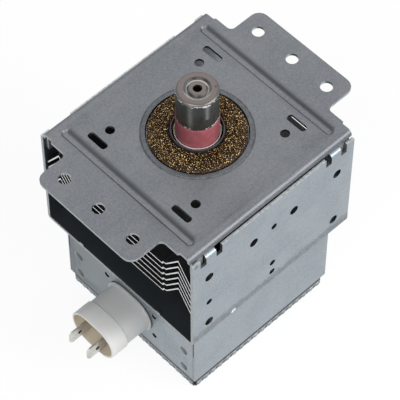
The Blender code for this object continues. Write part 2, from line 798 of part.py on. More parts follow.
def gasket_and_collar(look):
    """The wire mesh ring in its seat, and the flanged metal collar inside it."""
    bore = COLLAR_RADIUS + GAP
    flange = COLLAR_RADIUS + COLLAR_FLANGE
    low = SEAT_Z + GAP
    step = low + COLLAR_WALL + GAP
    edge = low + GASKET_EDGE
    crown = low + GASKET_CROWN
    profile = [
        (bore, step),
        (flange + GAP, step),
        (flange + GAP, low),
        (GASKET_RADIUS, low),
        (GASKET_RADIUS, edge),
        (GASKET_RADIUS - GASKET_ROLL / 3, (edge + crown) / 2),
        (GASKET_RADIUS - GASKET_ROLL, crown - GASKET_SWELL * 2),
        ((GASKET_RADIUS + bore) / 2, crown + GASKET_SWELL),
        (bore + GASKET_INNER_ROLL, crown),
        (bore, crown - GASKET_INNER_ROLL * 2 / 3),
    ]
    add_object("rf_gasket", turned(profile, FINE), look["mesh"])
    inner = COLLAR_RADIUS - COLLAR_WALL
    ring = [(inner, low), (flange, low), (flange, low + COLLAR_WALL), (COLLAR_RADIUS, low + COLLAR_WALL)]
    ring += [(COLLAR_RADIUS, low + COLLAR_HEIGHT), (inner, low + COLLAR_HEIGHT)]
    add_object("gasket_collar", turned(ring, FINE), look["cap"])


def antenna_path():
    """Return the antenna lead's route from a vane to the exhaust tube."""
    start = VANE_TOP + GAP
    axis_z = SEAT_Z
    rise = axis_z - start
    start_x = ANTENNA_LEAD_START
    route = [
        (start_x, 0.0, start),
        (start_x * 0.97, 0.0, start + rise * 0.07),
        (start_x * 0.86, 0.0, start + rise * 0.2),
        (start_x * 0.68, 0.0, start + rise * 0.36),
        (start_x * 0.40, 0.0, start + rise * 0.6),
        (start_x * 0.12, 0.0, start + rise * 0.84),
        (0.0, 0.0, axis_z),
        (0.0, 0.0, CAP_Z + ANTENNA_LEAD_END),
    ]
    return smooth_path(route, 3)


def output_end(look):
    """The seal ring, ceramic, exhaust tube, cap and antenna lead above the anode."""
    inner = SEAL_RADIUS - SEAL_WALL
    ledge = CERAMIC_Z - GAP
    foot = UPPER_MAGNET_Z
    bore = inner - SEAL_LEDGE
    ring = [
        (inner, foot),
        (SEAL_RADIUS + SEAL_FOOT, foot),
        (SEAL_RADIUS + SEAL_FOOT, foot + SEAL_WALL),
        (SEAL_RADIUS, foot + SEAL_WALL),
        (SEAL_RADIUS, SEAL_TOP),
        (inner, SEAL_TOP),
        (inner, ledge),
        (bore, ledge),
        (bore, ledge - SEAL_WALL),
        (inner, ledge - SEAL_WALL),
    ]
    add_object("output_seal_ring", turned(ring), look["copper"])
    top = CERAMIC_Z + CERAMIC_HEIGHT
    ceramic = tube_wall(CERAMIC_RADIUS, CERAMIC_WALL, CERAMIC_Z, top)
    add_object("antenna_insulator", turned(ceramic, FINE), look["pink"])
    hole = EXHAUST_RADIUS - EXHAUST_WALL
    nose = CAP_Z + EXHAUST_HEIGHT
    exhaust = [
        (hole, CAP_Z),
        (EXHAUST_FLANGE, CAP_Z),
        (EXHAUST_FLANGE, CAP_Z + EXHAUST_WALL),
        (EXHAUST_RADIUS, CAP_Z + EXHAUST_WALL),
        (EXHAUST_RADIUS, nose - EXHAUST_RADIUS),
        (0.0, nose),
        (0.0, nose - EXHAUST_WALL * 2),
        (hole, nose - EXHAUST_RADIUS - EXHAUST_WALL),
    ]
    add_object("exhaust_tube", turned(exhaust, SMALL), look["copper"])
    crown = CAP_Z + CAP_HEIGHT
    round_z = crown - CAP_ROUND
    arcs = spread(0, math.pi / 2, 4)
    cap = [(CAP_RADIUS - CAP_WALL, CAP_Z), (CAP_RADIUS, CAP_Z)]
    shoulder = CAP_RADIUS - CAP_ROUND
    cap += [(shoulder + CAP_ROUND * math.cos(a), round_z + CAP_ROUND * math.sin(a)) for a in arcs]
    cap += [
        (CAP_RING_RADIUS, crown),
        (CAP_RING_RADIUS - CAP_RING_DEPTH, crown - CAP_RING_DEPTH),
        (CAP_BOSS_RADIUS + CAP_RING_DEPTH, crown - CAP_RING_DEPTH),
        (CAP_BOSS_RADIUS, crown),
        (CAP_HOLE, crown),
        (CAP_HOLE, crown - CAP_RING_DEPTH - CAP_WALL),
        (shoulder, crown - CAP_RING_DEPTH - CAP_WALL),
        (CAP_RADIUS - CAP_WALL, round_z - CAP_WALL),
    ]
    add_object("antenna_cap", turned(cap, FINE), look["cap"])
    add_object("antenna_lead", wire(antenna_path(), ANTENNA_LEAD_RADIUS), look["copper"])


def magnets(look):
    """The two ferrite rings above and below the anode."""
    edge = MAGNET_CHAMFER
    outer = MAGNET_RADIUS
    profile = [
        (MAGNET_BORE, 0.0),
        (outer - edge, 0.0),
        (outer, edge),
        (outer, MAGNET_HEIGHT - edge),
        (outer - edge, MAGNET_HEIGHT),
        (MAGNET_BORE, MAGNET_HEIGHT),
    ]
    lower = add_object("lower_magnet", turned(profile, FINE), look["ferrite"], (0.0, 0.0, LOWER_MAGNET_Z))
    add_mesh("upper_magnet", lower.data, look["ferrite"], (0.0, 0.0, UPPER_MAGNET_Z))


def pole_profile():
    """Return the funnel's outline: a rim on the anode's end and a nose that dips inside."""
    lean = POLE_SHEET * 0.6
    return [
        (ANODE_RADIUS, 0.0),
        (ANODE_RADIUS, POLE_SHEET),
        (POLE_CONE_RADIUS, POLE_SHEET),
        (POLE_NOSE_RADIUS, POLE_SHEET - POLE_CONE_DEPTH),
        (POLE_BORE, POLE_SHEET - POLE_CONE_DEPTH),
        (POLE_BORE, -POLE_CONE_DEPTH),
        (POLE_NOSE_RADIUS + lean, -POLE_CONE_DEPTH),
        (POLE_CONE_RADIUS + lean, 0.0),
    ]


def pole_pieces(look):
    """The two iron funnels that close the anode's ends. The upper one lets the antenna lead out."""
    upper = add_object("upper_pole_piece", turned(pole_profile()), look["cap"], (0.0, 0.0, UPPER_POLE_Z))
    lead = [point - Vector((0.0, 0.0, UPPER_POLE_Z)) for point in antenna_path()[:-1]]
    combine(upper, wire(lead, ANTENNA_LEAD_RADIUS + GAP * 2), "DIFFERENCE")
    flipped = [(r, -z) for r, z in pole_profile()]
    add_object("lower_pole_piece", turned(flipped), look["cap"], (0.0, 0.0, ANODE_Z - GAP))


def anode(look):
    """The copper cylinder, its radial vanes and the four strap rings."""
    wall = [
        (ANODE_BORE, 0.0),
        (ANODE_RADIUS - ANODE_CHAMFER, 0.0),
        (ANODE_RADIUS, ANODE_CHAMFER),
        (ANODE_RADIUS, ANODE_HEIGHT - ANODE_CHAMFER),
        (ANODE_RADIUS - ANODE_CHAMFER, ANODE_HEIGHT),
        (ANODE_BORE, ANODE_HEIGHT),
    ]
    add_object("anode_cylinder", turned(wall), look["copper"], (0.0, 0.0, ANODE_Z))
    half = VANE_HEIGHT / 2
    notch = half - STRAP_HEIGHT - GAP
    inner = STRAP_INNER_RADIUS - GAP
    outer = STRAP_INNER_RADIUS + STRAP_PITCH + STRAP_WIDTH + GAP
    root = ANODE_BORE - GAP * 1.5
    upper = [(root, half), (outer, half), (outer, notch), (inner, notch), (inner, half), (VANE_TIP, half)]
    outline = upper + [(r, -z) for r, z in reversed(upper)]
    shape = prism(outline, -VANE_THICKNESS / 2, VANE_THICKNESS / 2, "Y")
    first = None
    for k in range(VANE_COUNT):
        name = f"anode_vane_{k + 1}"
        place = (0.0, 0.0, TUBE_MIDDLE)
        if first is None:
            first = add_object(name, shape, look["copper"], place)
            vane = first
        else:
            vane = add_mesh(name, first.data, look["copper"], place)
        vane.rotation_euler.z = 2 * math.pi * k / VANE_COUNT
    for end, low in (("upper", half - STRAP_HEIGHT), ("lower", -half)):
        for size, radius in (("inner", STRAP_INNER_RADIUS), ("outer", STRAP_INNER_RADIUS + STRAP_PITCH)):
            ring = tube_wall(radius + STRAP_WIDTH, STRAP_WIDTH, low, low + STRAP_HEIGHT)
            add_object(f"{end}_{size}_strap", turned(ring), look["copper"], (0.0, 0.0, TUBE_MIDDLE))


def cathode(look):
    """The filament coil between two end hats, and the two leads down to the stem."""
    span = VANE_HEIGHT - 2 * (GAP + FILAMENT_WIRE)
    start = TUBE_MIDDLE - span / 2
    coil = helix((0.0, 0.0, start), FILAMENT_RADIUS, span, FILAMENT_TURNS)
    add_object("cathode_filament", wire(coil, FILAMENT_WIRE, THIN_WIRE_SIDES), look["tungsten"])
    bore = LEAD_RADIUS + GAP
    hat = [
        (bore, 0.0),
        (HAT_RADIUS, 0.0),
        (HAT_RADIUS, HAT_HEIGHT * 0.6),
        (HAT_RADIUS * 0.6, HAT_HEIGHT),
        (bore, HAT_HEIGHT),
    ]
    top_z = TUBE_MIDDLE + VANE_HEIGHT / 2
    add_object("upper_end_hat", turned(hat, SMALL), look["tungsten"], (0.0, 0.0, top_z))
    low_z = TUBE_MIDDLE - VANE_HEIGHT / 2
    flipped = [(r, -z) for r, z in hat]
    add_object("lower_end_hat", turned(flipped, SMALL), look["tungsten"], (0.0, 0.0, low_z))
    turn_z = STEM_TOP + STEM_LEAD_X
    low = TERMINAL_TOP + GAP
    centre = [
        (0.0, 0.0, top_z + HAT_HEIGHT),
        (0.0, 0.0, turn_z + STEM_LEAD_X),
        (-STEM_LEAD_X * 0.15, 0.0, turn_z + STEM_LEAD_X * 0.6),
        (-STEM_LEAD_X * 0.85, 0.0, turn_z - STEM_LEAD_X * 0.3),
        (-STEM_LEAD_X, 0.0, turn_z - STEM_LEAD_X * 0.7),
        (-STEM_LEAD_X, 0.0, low),
    ]
    add_object("centre_lead", wire(centre, LEAD_RADIUS), look["tungsten"])
    side = [
        (SIDE_LEAD_X, 0.0, low_z - HAT_HEIGHT - GAP),
        (SIDE_LEAD_X, 0.0, turn_z + STEM_LEAD_X * 0.4),
        (STEM_LEAD_X, 0.0, turn_z - STEM_LEAD_X * 0.5),
        (STEM_LEAD_X, 0.0, low),
    ]
    add_object("side_lead", wire(side, LEAD_RADIUS), look["tungsten"])


def stem(look):
    """The lower seal ring, its ceramic and the two filament terminals."""
    top = LOWER_POLE_Z - GAP
    inner = SEAL_RADIUS - SEAL_WALL
    foot = SEAL_RADIUS + SEAL_FOOT
    ring = [
        (inner, STEM_TOP + GAP),
        (SEAL_RADIUS, STEM_TOP + GAP),
        (SEAL_RADIUS, top - SEAL_WALL),
        (foot, top - SEAL_WALL),
        (foot, top),
        (inner, top),
    ]
    add_object("input_seal_ring", turned(ring), look["copper"])
    body = [(0.0, STEM_BOTTOM), (STEM_RADIUS, STEM_BOTTOM), (STEM_RADIUS, STEM_TOP), (0.0, STEM_TOP)]
    ceramic = add_object("stem_insulator", turned(body), look["white"])
    bores = []
    for x in (-STEM_LEAD_X, STEM_LEAD_X):
        outline = circle(LEAD_RADIUS + GAP, TINY, x, 0.0)
        bores.append(prism(outline, STEM_BOTTOM - STEM_HEIGHT, STEM_TOP + STEM_HEIGHT))
    combine(ceramic, merged(bores), "DIFFERENCE")
    brim = TERMINAL_HEIGHT * 0.2
    pin = [
        (0.0, -TERMINAL_HEIGHT),
        (TERMINAL_RADIUS, -TERMINAL_HEIGHT),
        (TERMINAL_RADIUS, -brim),
        (TERMINAL_FLANGE, -brim),
        (TERMINAL_FLANGE, 0.0),
        (0.0, 0.0),
    ]
    left = add_object("stem_terminal_1", turned(pin, SMALL), look["tab"], (-STEM_LEAD_X, 0.0, TERMINAL_TOP))
    add_mesh("stem_terminal_2", left.data, look["tab"], (STEM_LEAD_X, 0.0, TERMINAL_TOP))


def cooling_fins(look):
    """Six aluminium fins with a collar on the anode and chevron sides up to the yoke's walls."""
    points = [
        (0.0, 0.0),
        (FIN_FLAT, 0.0),
        (FIN_FLAT + FIN_JOGGLE_RUN, FIN_JOGGLE),
        (FIN_SHOULDER_X, FIN_JOGGLE),
        (FIN_PEAK_X, FIN_PEAK_RISE),
        (YOKE_INSIDE, 0.0),
    ]
    path = [Vector(point) for point in points]
    bore = ANODE_RADIUS + GAP
    collar = [(circle(bore + FIN_COLLAR_SLOPE, ROUND), 0.0), (circle(bore, ROUND), FIN_COLLAR)]
    outline = rectangle(path_length(path), FIN_HALF_DEPTH)
    bm = flat_sheet(outline, [], [(collar, False)], -FIN_SHEET, 0.0)
    fold(bm, 0, lambda x, y: path, path)
    bottom = TUBE_MIDDLE + FIN_STACK_RISE - FIN_PITCH * (FIN_COUNT - 1) / 2
    fin = add_object("cooling_fin_1", merge_flats(bm), look["aluminium"], (0.0, 0.0, bottom))
    for k in range(1, FIN_COUNT):
        add_mesh(f"cooling_fin_{k + 1}", fin.data, look["aluminium"], (0.0, 0.0, bottom + FIN_PITCH * k))


def tray_outline(start_x, start_y, end_x, end_y, side_half, front_half):
    """Return the cross-shaped blank of a five-sided box. The halves are the walls' own widths."""
    quarter = [
        (end_x, side_half),
        (start_x, side_half),
        (start_x, start_y),
        (front_half, start_y),
        (front_half, end_y),
    ]
    outline = []
    for flip_x, flip_y in ((1, 1), (-1, 1), (-1, -1), (1, -1)):
        part = [(flip_x * x, flip_y * y) for x, y in quarter]
        if flip_x * flip_y < 0:
            part.reverse()
        outline += part
    cleaned = []
    for point in outline:
        if not cleaned or (Vector(point) - Vector(cleaned[-1])).length > 1e-6:
            cleaned.append(point)
    return cleaned


def filter_box(look):
    """The five-sided zinc plated box under the yoke, open at the bottom, with its front cut-outs."""
    start_x = BOX_WIDTH / 2 - BOX_BEND
    start_y = BOX_DEPTH / 2 - BOX_BEND
    down = ("run", BOX_HEIGHT - BOX_BEND)
    path_x = bent_path([("run", start_x), ("bend", -90, BOX_BEND), down])
    path_y = bent_path([("run", start_y), ("bend", -90, BOX_BEND), down])
    end_x = path_length(path_x)
    end_y = path_length(path_y)
    outline = tray_outline(start_x, start_y, end_x, end_y, BOX_DEPTH / 2, start_x - BOX_SEAM)
    holes = [circle(BOX_STEM_HOLE, ROUND)]
    holes += [circle(RIVET_HOLE, SMALL, x, y) for x, y in mirrored_places(RIVET_PLACE, RIVET_PLACE)]

    def on_front(z):
        return -(end_y - (z - COVER_EXPOSED))

    opening = stadium(POTTING_HALF_WIDTH + GAP, POTTING_HALF_HEIGHT + GAP, 0.0, on_front(CONNECTOR_Z))
    holes.append(opening)
    for x, z in mirrored_places(FLANGE_HOLE_X, FLANGE_HOLE_Z):
        holes.append(circle(FLANGE_HOLE / 2, SMALL, x, on_front(CONNECTOR_Z + z)))
    pressings = []
    for x in (-DIMPLE_X, DIMPLE_X):
        for z in DIMPLE_HEIGHTS:
            rim = circle(DIMPLE_RADIUS, TINY, x, on_front(z))
            floor = circle(DIMPLE_RADIUS * DIMPLE_FLOOR_SHARE, TINY, x, on_front(z))
            pressings.append(([(rim, 0.0), (floor, -DIMPLE_DEPTH)], True))
    bm = flat_sheet(outline, holes, pressings, -BOX_SHEET, 0.0)

    def on_end_wall(x, y):
        return abs(x) < start_x - BOX_SEAM / 2 and abs(y) > start_y

    fold(bm, 1, lambda x, y: path_y if on_end_wall(x, y) else None, path_y)
    fold(bm, 0, lambda x, y: path_x if abs(x) > start_x - BOX_SEAM / 2 else None, path_x)
    add_object("filter_box", merge_flats(bm), look["zinc"], (0.0, 0.0, BOX_TOP))


def filter_box_cover(look):
    """The shallow tray that closes the box, its walls inside the box's walls."""
    half_x = BOX_WIDTH / 2 - BOX_SHEET - GAP
    half_y = BOX_DEPTH / 2 - BOX_SHEET - GAP
    start_x = half_x - COVER_BEND
    start_y = half_y - COVER_BEND
    up = ("run", COVER_TOP - COVER_BEND)
    path_x = bent_path([("run", start_x), ("bend", 90, COVER_BEND), up])
    path_y = bent_path([("run", start_y), ("bend", 90, COVER_BEND), up])
    narrow_x = start_x - BOX_SEAM
    narrow_y = start_y - BOX_SEAM
    outline = tray_outline(start_x, start_y, path_length(path_x), path_length(path_y), narrow_y, narrow_x)
    bm = flat_sheet(outline, [], [], 0.0, COVER_SHEET)
    fold(bm, 1, lambda x, y: path_y if abs(y) > start_y else None, path_y)
    fold(bm, 0, lambda x, y: path_x if abs(x) > start_x else None, path_x)
    add_object("filter_box_cover", merge_flats(bm), look["zinc"])


def box_rivets(look):
    """Four rivets through the yoke's floor and the box's top."""
    head = YOKE_FLOOR + GAP
    tail = BOX_TOP - BOX_SHEET - GAP
    profile = [
        (0.0, tail - RIVET_HEAD_HEIGHT),
        (RIVET_HEAD * 0.75, tail - RIVET_HEAD_HEIGHT),
        (RIVET_HEAD * 0.85, tail),
        (RIVET_SHANK, tail),
        (RIVET_SHANK, head),
        (RIVET_HEAD, head),
        (RIVET_HEAD * 0.7, head + RIVET_HEAD_HEIGHT),
        (0.0, head + RIVET_HEAD_HEIGHT),
    ]
    first = None
    for k, (x, y) in enumerate(mirrored_places(RIVET_PLACE, RIVET_PLACE)):
        name = f"box_rivet_{k + 1}"
        if first is None:
            first = add_object(name, turned(profile, SMALL), look["tab"], (x, y, 0.0))
        else:
            add_mesh(name, first.data, look["tab"], (x, y, 0.0))


def connector(look):
    """The white shell with its resin, the capacitor behind it, the flange and the two tabs."""
    collar_x = SHELL_HALF_WIDTH + COLLAR_STEP
    collar_z = SHELL_HALF_HEIGHT + COLLAR_STEP
    mouth_x = collar_x - MOUTH_WALL
    mouth_z = collar_z - MOUTH_WALL
    rear_x = POTTING_HALF_WIDTH + GAP
    rear_z = POTTING_HALF_HEIGHT + GAP
    inset = MOUTH_WALL * 0.3

    def ring(half_x, half_z, y):
        return [(x, y, z) for x, z in stadium(half_x, half_z, 0.0, CONNECTOR_Z)]

    base_x = SHELL_HALF_WIDTH + SHELL_BASE_RIM
    base_z = SHELL_HALF_HEIGHT + SHELL_BASE_RIM
    shell = [
        ring(base_x, base_z, SHELL_BACK),
        ring(base_x, base_z, SHELL_BACK - SHELL_BASE_SHEET),
        ring(SHELL_HALF_WIDTH, SHELL_HALF_HEIGHT, SHELL_BACK - SHELL_BASE_SHEET),
        ring(SHELL_HALF_WIDTH, SHELL_HALF_HEIGHT, SHELL_STEP_Y + GAP),
        ring(collar_x, collar_z, SHELL_STEP_Y),
        ring(collar_x, collar_z, MOUTH_Y + inset),
        ring(collar_x - inset, collar_z - inset, MOUTH_Y),
        ring(mouth_x, mouth_z, MOUTH_Y),
        ring(mouth_x, mouth_z, SHELL_STEP_Y + GAP),
        ring(rear_x, rear_z, SHELL_STEP_Y + GAP),
        ring(rear_x, rear_z, SHELL_BACK),
    ]
    add_object("connector_shell", lofted(shell, True), look["shell"])
    post_x = TAB_BLADE_PITCH / 2

    def post_bores(front, back):
        outlines = [circle(POST_RADIUS + GAP, TINY, x, CONNECTOR_Z) for x in (-post_x, post_x)]
        return merged([prism(outline, front - BOX_SHEET, back + BOX_SHEET, "Y") for outline in outlines])

    filling = stadium(POTTING_HALF_WIDTH, POTTING_HALF_HEIGHT, 0.0, CONNECTOR_Z)
    resin = prism(filling, POTTING_FRONT, POTTING_BACK, "Y")
    potting = add_object("connector_potting", resin, look["potting"])
    combine(potting, post_bores(POTTING_FRONT, POTTING_BACK), "DIFFERENCE")
    body_x = POTTING_HALF_WIDTH + CAPACITOR_STEP
    body_z = POTTING_HALF_HEIGHT + CAPACITOR_STEP
    body = prism(stadium(body_x, body_z, 0.0, CONNECTOR_Z), CAPACITOR_FRONT, CAPACITOR_BACK, "Y")
    capacitor = add_object("capacitor_body", body, look["white"])
    combine(capacitor, post_bores(CAPACITOR_FRONT, CAPACITOR_BACK), "DIFFERENCE")
    window = [stadium(POTTING_HALF_WIDTH + GAP, POTTING_HALF_HEIGHT + GAP)]
    screws = mirrored_places(FLANGE_HOLE_X, FLANGE_HOLE_Z)
    window += [circle(FLANGE_HOLE / 2, SMALL, x, z) for x, z in screws]
    plate = rectangle(FLANGE_HALF_WIDTH, FLANGE_HALF_HEIGHT, FLANGE_CORNER)
    bm = flat_sheet(plate, window, [], 0.0, FLANGE_SHEET)
    place = (0.0, FLANGE_FRONT + FLANGE_SHEET, CONNECTOR_Z)
    flange = add_object("capacitor_flange", merge_flats(bm), look["tab"], place)
    flange.rotation_euler.x = math.pi / 2
    for k, x in enumerate((-post_x, post_x)):
        terminal_tab(f"terminal_tab_{k + 1}", x, look)


def terminal_tab(name, x, look):
    """A flat quick-connect blade with a round post at its root, through the resin and capacitor."""
    tip = MOUTH_Y - TAB_BLADE_PROUD
    root = POTTING_FRONT - GAP
    half = TAB_BLADE_WIDTH / 2
    cut = TAB_BLADE_CHAMFER
    outline = [(root, -half), (root, half)]
    outline += [(tip + cut, half), (tip, half - cut), (tip, cut - half), (tip + cut, -half)]
    hole = circle(TAB_BLADE_HOLE / 2, TINY, tip + TAB_BLADE_HOLE_INSET, 0.0)
    bm = flat_sheet(outline, [hole], [], -TAB_BLADE_SHEET / 2, TAB_BLADE_SHEET / 2)
    bmesh.ops.transform(bm, matrix=Matrix.Rotation(math.pi / 2, 4, "Y"), verts=bm.verts[:])
    bmesh.ops.transform(bm, matrix=Matrix.Rotation(math.pi / 2, 4, "X"), verts=bm.verts[:])
    blade = add_object(name, merge_flats(bm), look["tab"], (x, 0.0, CONNECTOR_Z))
    post = prism(circle(POST_RADIUS, TINY), root - POST_RADIUS, POST_END, "Y")
    combine(blade, post, "UNION")


def choke_route(side):
    """Return one choke's wire: from its capacitor post, round the core, to its stem terminal."""
    post = TAB_BLADE_PITCH / 2 + POST_RADIUS + GAP
    front = POST_END - POST_RADIUS
    low = CONNECTOR_Z - CHOKE_RADIUS
    near = CHOKE_X - CHOKE_RADIUS
    end = CHOKE_LENGTH - CHOKE_FRONT
    pin_z = TERMINAL_TOP - TERMINAL_HEIGHT * 0.65
    pin_x = STEM_LEAD_X + TERMINAL_RADIUS + GAP
    lead_in = smooth_path(
        [
            (post, front, CONNECTOR_Z),
            (post + CHOKE_WIRE * 4, front + CHOKE_WIRE, CONNECTOR_Z),
            (near, -CHOKE_FRONT - CHOKE_RADIUS, low + CHOKE_RADIUS / 2),
            (CHOKE_X - CHOKE_WIRE * 2, -CHOKE_FRONT - CHOKE_WIRE, low),
        ],
        3,
    )
    coil = helix((0.0, 0.0, -CHOKE_FRONT), CHOKE_RADIUS, CHOKE_LENGTH, CHOKE_TURNS, -math.pi / 2)
    turns = [Vector((CHOKE_X + x, y, CONNECTOR_Z + z)) for x, z, y in coil]
    lead_out = smooth_path(
        [
            (CHOKE_X + CHOKE_WIRE * 2, end + CHOKE_WIRE, low),
            (CHOKE_X, end + CHOKE_RADIUS, low + CHOKE_WIRE),
            (near, end + CHOKE_WIRE * 4, CONNECTOR_Z),
            (near - CHOKE_WIRE * 4, end / 2, pin_z),
            (pin_x + CHOKE_WIRE * 3, CHOKE_WIRE * 2, pin_z),
            (pin_x, 0.0, pin_z),
        ],
        3,
    )
    return [(side * p[0], p[1], p[2]) for p in lead_in + turns + lead_out]


def chokes(look):
    """Two ferrite rods, each in a coil of thick copper wire."""
    for k, side in enumerate((-1.0, 1.0)):
        coil = wire(choke_route(side), CHOKE_WIRE, THIN_WIRE_SIDES)
        add_object(f"choke_coil_{k + 1}", coil, look["copper"])
        rod = prism(
            circle(CORE_RADIUS, TINY, side * CHOKE_X, CONNECTOR_Z),
            -CHOKE_FRONT - CORE_OVERHANG,
            CHOKE_LENGTH - CHOKE_FRONT + CORE_OVERHANG,
            "Y",
        )
        add_object(f"choke_core_{k + 1}", rod, look["ferrite"])


def main():
    """Build every piece."""
    clear_scene()
    look = finishes()
    yoke_frame(look)
    upper_yoke_plate(look)
    gasket_and_collar(look)
    output_end(look)
    magnets(look)
    pole_pieces(look)
    anode(look)
    cathode(look)
    stem(look)
    cooling_fins(look)
    filter_box(look)
    filter_box_cover(look)
    box_rivets(look)
    connector(look)
    chokes(look)


main()
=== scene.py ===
"""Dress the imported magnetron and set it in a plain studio.

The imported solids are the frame. Sheet steel, cap, ceramic and connector get fine copies with
softened edges, the gasket gets its knitted wire and the cover its row of contact bumps.
"""

import logging
import math
from dataclasses import dataclass, field
from enum import Enum

import bmesh
import bpy
from bpy.types import Material, Mesh, Node, NodeSocket, NodeTree, Object
from mathutils import Matrix, Vector

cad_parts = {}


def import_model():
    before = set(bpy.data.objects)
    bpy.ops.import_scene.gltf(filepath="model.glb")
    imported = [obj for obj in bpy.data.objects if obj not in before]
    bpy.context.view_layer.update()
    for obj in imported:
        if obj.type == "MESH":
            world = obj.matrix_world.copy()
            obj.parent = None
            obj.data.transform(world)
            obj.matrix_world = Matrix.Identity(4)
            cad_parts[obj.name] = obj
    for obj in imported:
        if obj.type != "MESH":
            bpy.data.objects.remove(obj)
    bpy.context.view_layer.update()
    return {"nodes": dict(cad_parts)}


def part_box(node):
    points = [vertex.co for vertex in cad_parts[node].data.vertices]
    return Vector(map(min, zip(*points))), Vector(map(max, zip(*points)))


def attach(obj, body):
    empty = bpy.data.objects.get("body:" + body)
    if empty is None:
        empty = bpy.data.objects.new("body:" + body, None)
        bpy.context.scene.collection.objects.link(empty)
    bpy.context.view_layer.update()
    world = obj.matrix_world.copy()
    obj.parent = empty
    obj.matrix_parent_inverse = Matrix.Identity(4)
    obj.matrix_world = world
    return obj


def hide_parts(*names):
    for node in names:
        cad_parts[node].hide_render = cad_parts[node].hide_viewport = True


LOG = logging.getLogger("magnetron")

Colour = tuple[float, float, float]
BODY = "root"
# A bound in metres that no piece reaches.
FAR = 1.0
ZINC: Colour = (0.295, 0.338, 0.372)
ZINC_CLOUD: Colour = (0.345, 0.388, 0.422)
SCRATCHES = ((Vector((60.0, 60.0, 1400.0)), 0.735), (Vector((900.0, 1100.0, 38.0)), 0.765))


class Axis(Enum):
    """One of the three axes, such as the one a sheet was rolled along."""

    X = 0
    Y = 1
    Z = 2


class Signal:
    """A node socket that takes part in arithmetic, each step adding one Math node."""

    def __init__(self, graph: "Graph", socket: NodeSocket) -> None:
        """Keep the socket and the graph that holds it."""
        self.graph = graph
        self.socket = socket

    def _step(self, operation: str, *values: "Signal | float") -> "Signal":
        """Return the result of one Math node."""
        return self.graph.signal("ShaderNodeMath", {"operation": operation}, dict(enumerate(values)))

    def __add__(self, other: "Signal | float") -> "Signal":
        """Return the sum."""
        return self._step("ADD", self, other)

    __radd__ = __add__

    def __sub__(self, other: "Signal | float") -> "Signal":
        """Return self less other."""
        return self._step("SUBTRACT", self, other)

    def __rsub__(self, other: float) -> "Signal":
        """Return other less self."""
        return self._step("SUBTRACT", other, self)

    def __mul__(self, other: "Signal | float") -> "Signal":
        """Return the product."""
        return self._step("MULTIPLY", self, other)

    __rmul__ = __mul__

    def __truediv__(self, other: "Signal | float") -> "Signal":
        """Return self over other."""
        return self._step("DIVIDE", self, other)

    def __abs__(self) -> "Signal":
        """Return the size without its sign."""
        return self._step("ABSOLUTE", self)

    def above(self, level: float) -> "Signal":
        """Return 1 where the value is over a level, else 0."""
        return self._step("GREATER_THAN", self, level)

    def below(self, level: float) -> "Signal":
        """Return 1 where the value is under a level, else 0."""
        return self._step("LESS_THAN", self, level)

    def rounded(self) -> "Signal":
        """Return the nearest whole number."""
        return self._step("ROUND", self)

    def at_least(self, level: "Signal | float") -> "Signal":
        """Return the larger of the value and a level."""
        return self._step("MAXIMUM", self, level)

    def length(self, other: "Signal") -> "Signal":
        """Return the length of the vector with the parts self and other."""
        return self._step("SQRT", self * self + other * other)

    def ramp(self, low: float, high: float) -> "Signal":
        """Rise smoothly from 0 at low to 1 at high."""
        settings = {"interpolation_type": "SMOOTHSTEP"}
        return self.graph.signal("ShaderNodeMapRange", settings, {0: self, 1: low, 2: high})

    def fall(self, low: float, high: float) -> "Signal":
        """Fall smoothly from 1 at low to 0 at high."""
        return 1.0 - self.ramp(low, high)

    def between(self, low: float, high: float, blur: float) -> "Signal":
        """Return 1 from low to high and 0 beyond, with both ends blurred."""
        return self.ramp(low - blur, low + blur) * self.fall(high - blur, high + blur)


class Graph:
    """A node tree under construction."""

    def __init__(self, tree: NodeTree) -> None:
        """Keep the tree."""
        self.tree = tree

    def node(self, kind: str, settings: dict | None = None, values: dict | None = None) -> Node:
        """Add a node.

        Args:
            kind: The node's type.
            settings: Its own settings, set first.
            values: Socket names or numbers, each with what feed takes.

        Returns:
            The new node.
        """
        made = self.tree.nodes.new(kind)
        for key, value in (settings or {}).items():
            setattr(made, key, value)
        for key, value in (values or {}).items():
            self.feed(made.inputs[key], value)
        return made

    def feed(self, entry: NodeSocket, value: object) -> None:
        """Fill one input.

        Args:
            entry: The input.
            value: A plain value, or the Signal, the socket or the node that feeds it.
        """
        source = value.socket if isinstance(value, Signal) else value
        if isinstance(source, Node):
            source = source.outputs[0]
        if isinstance(source, NodeSocket):
            self.tree.links.new(source, entry)
        elif entry.type == "RGBA":
            entry.default_value = (*source, 1.0)
        else:
            entry.default_value = source

    def signal(self, kind: str, settings: dict | None, values: dict) -> Signal:
        """Add a node and return its first output."""
        return Signal(self, self.node(kind, settings, values).outputs[0])

    def background_rays(self) -> Signal:
        """Mark the rays that show the background.

        Returns:
            1 for what the camera sees straight, mirrored or through something clear, else 0.
        """
        path = self.node("ShaderNodeLightPath").outputs
        seen = Signal(self, path["Is Camera Ray"])
        for kind in ("Is Glossy Ray", "Is Transmission Ray"):
            seen = seen.at_least(Signal(self, path[kind]))
        return seen


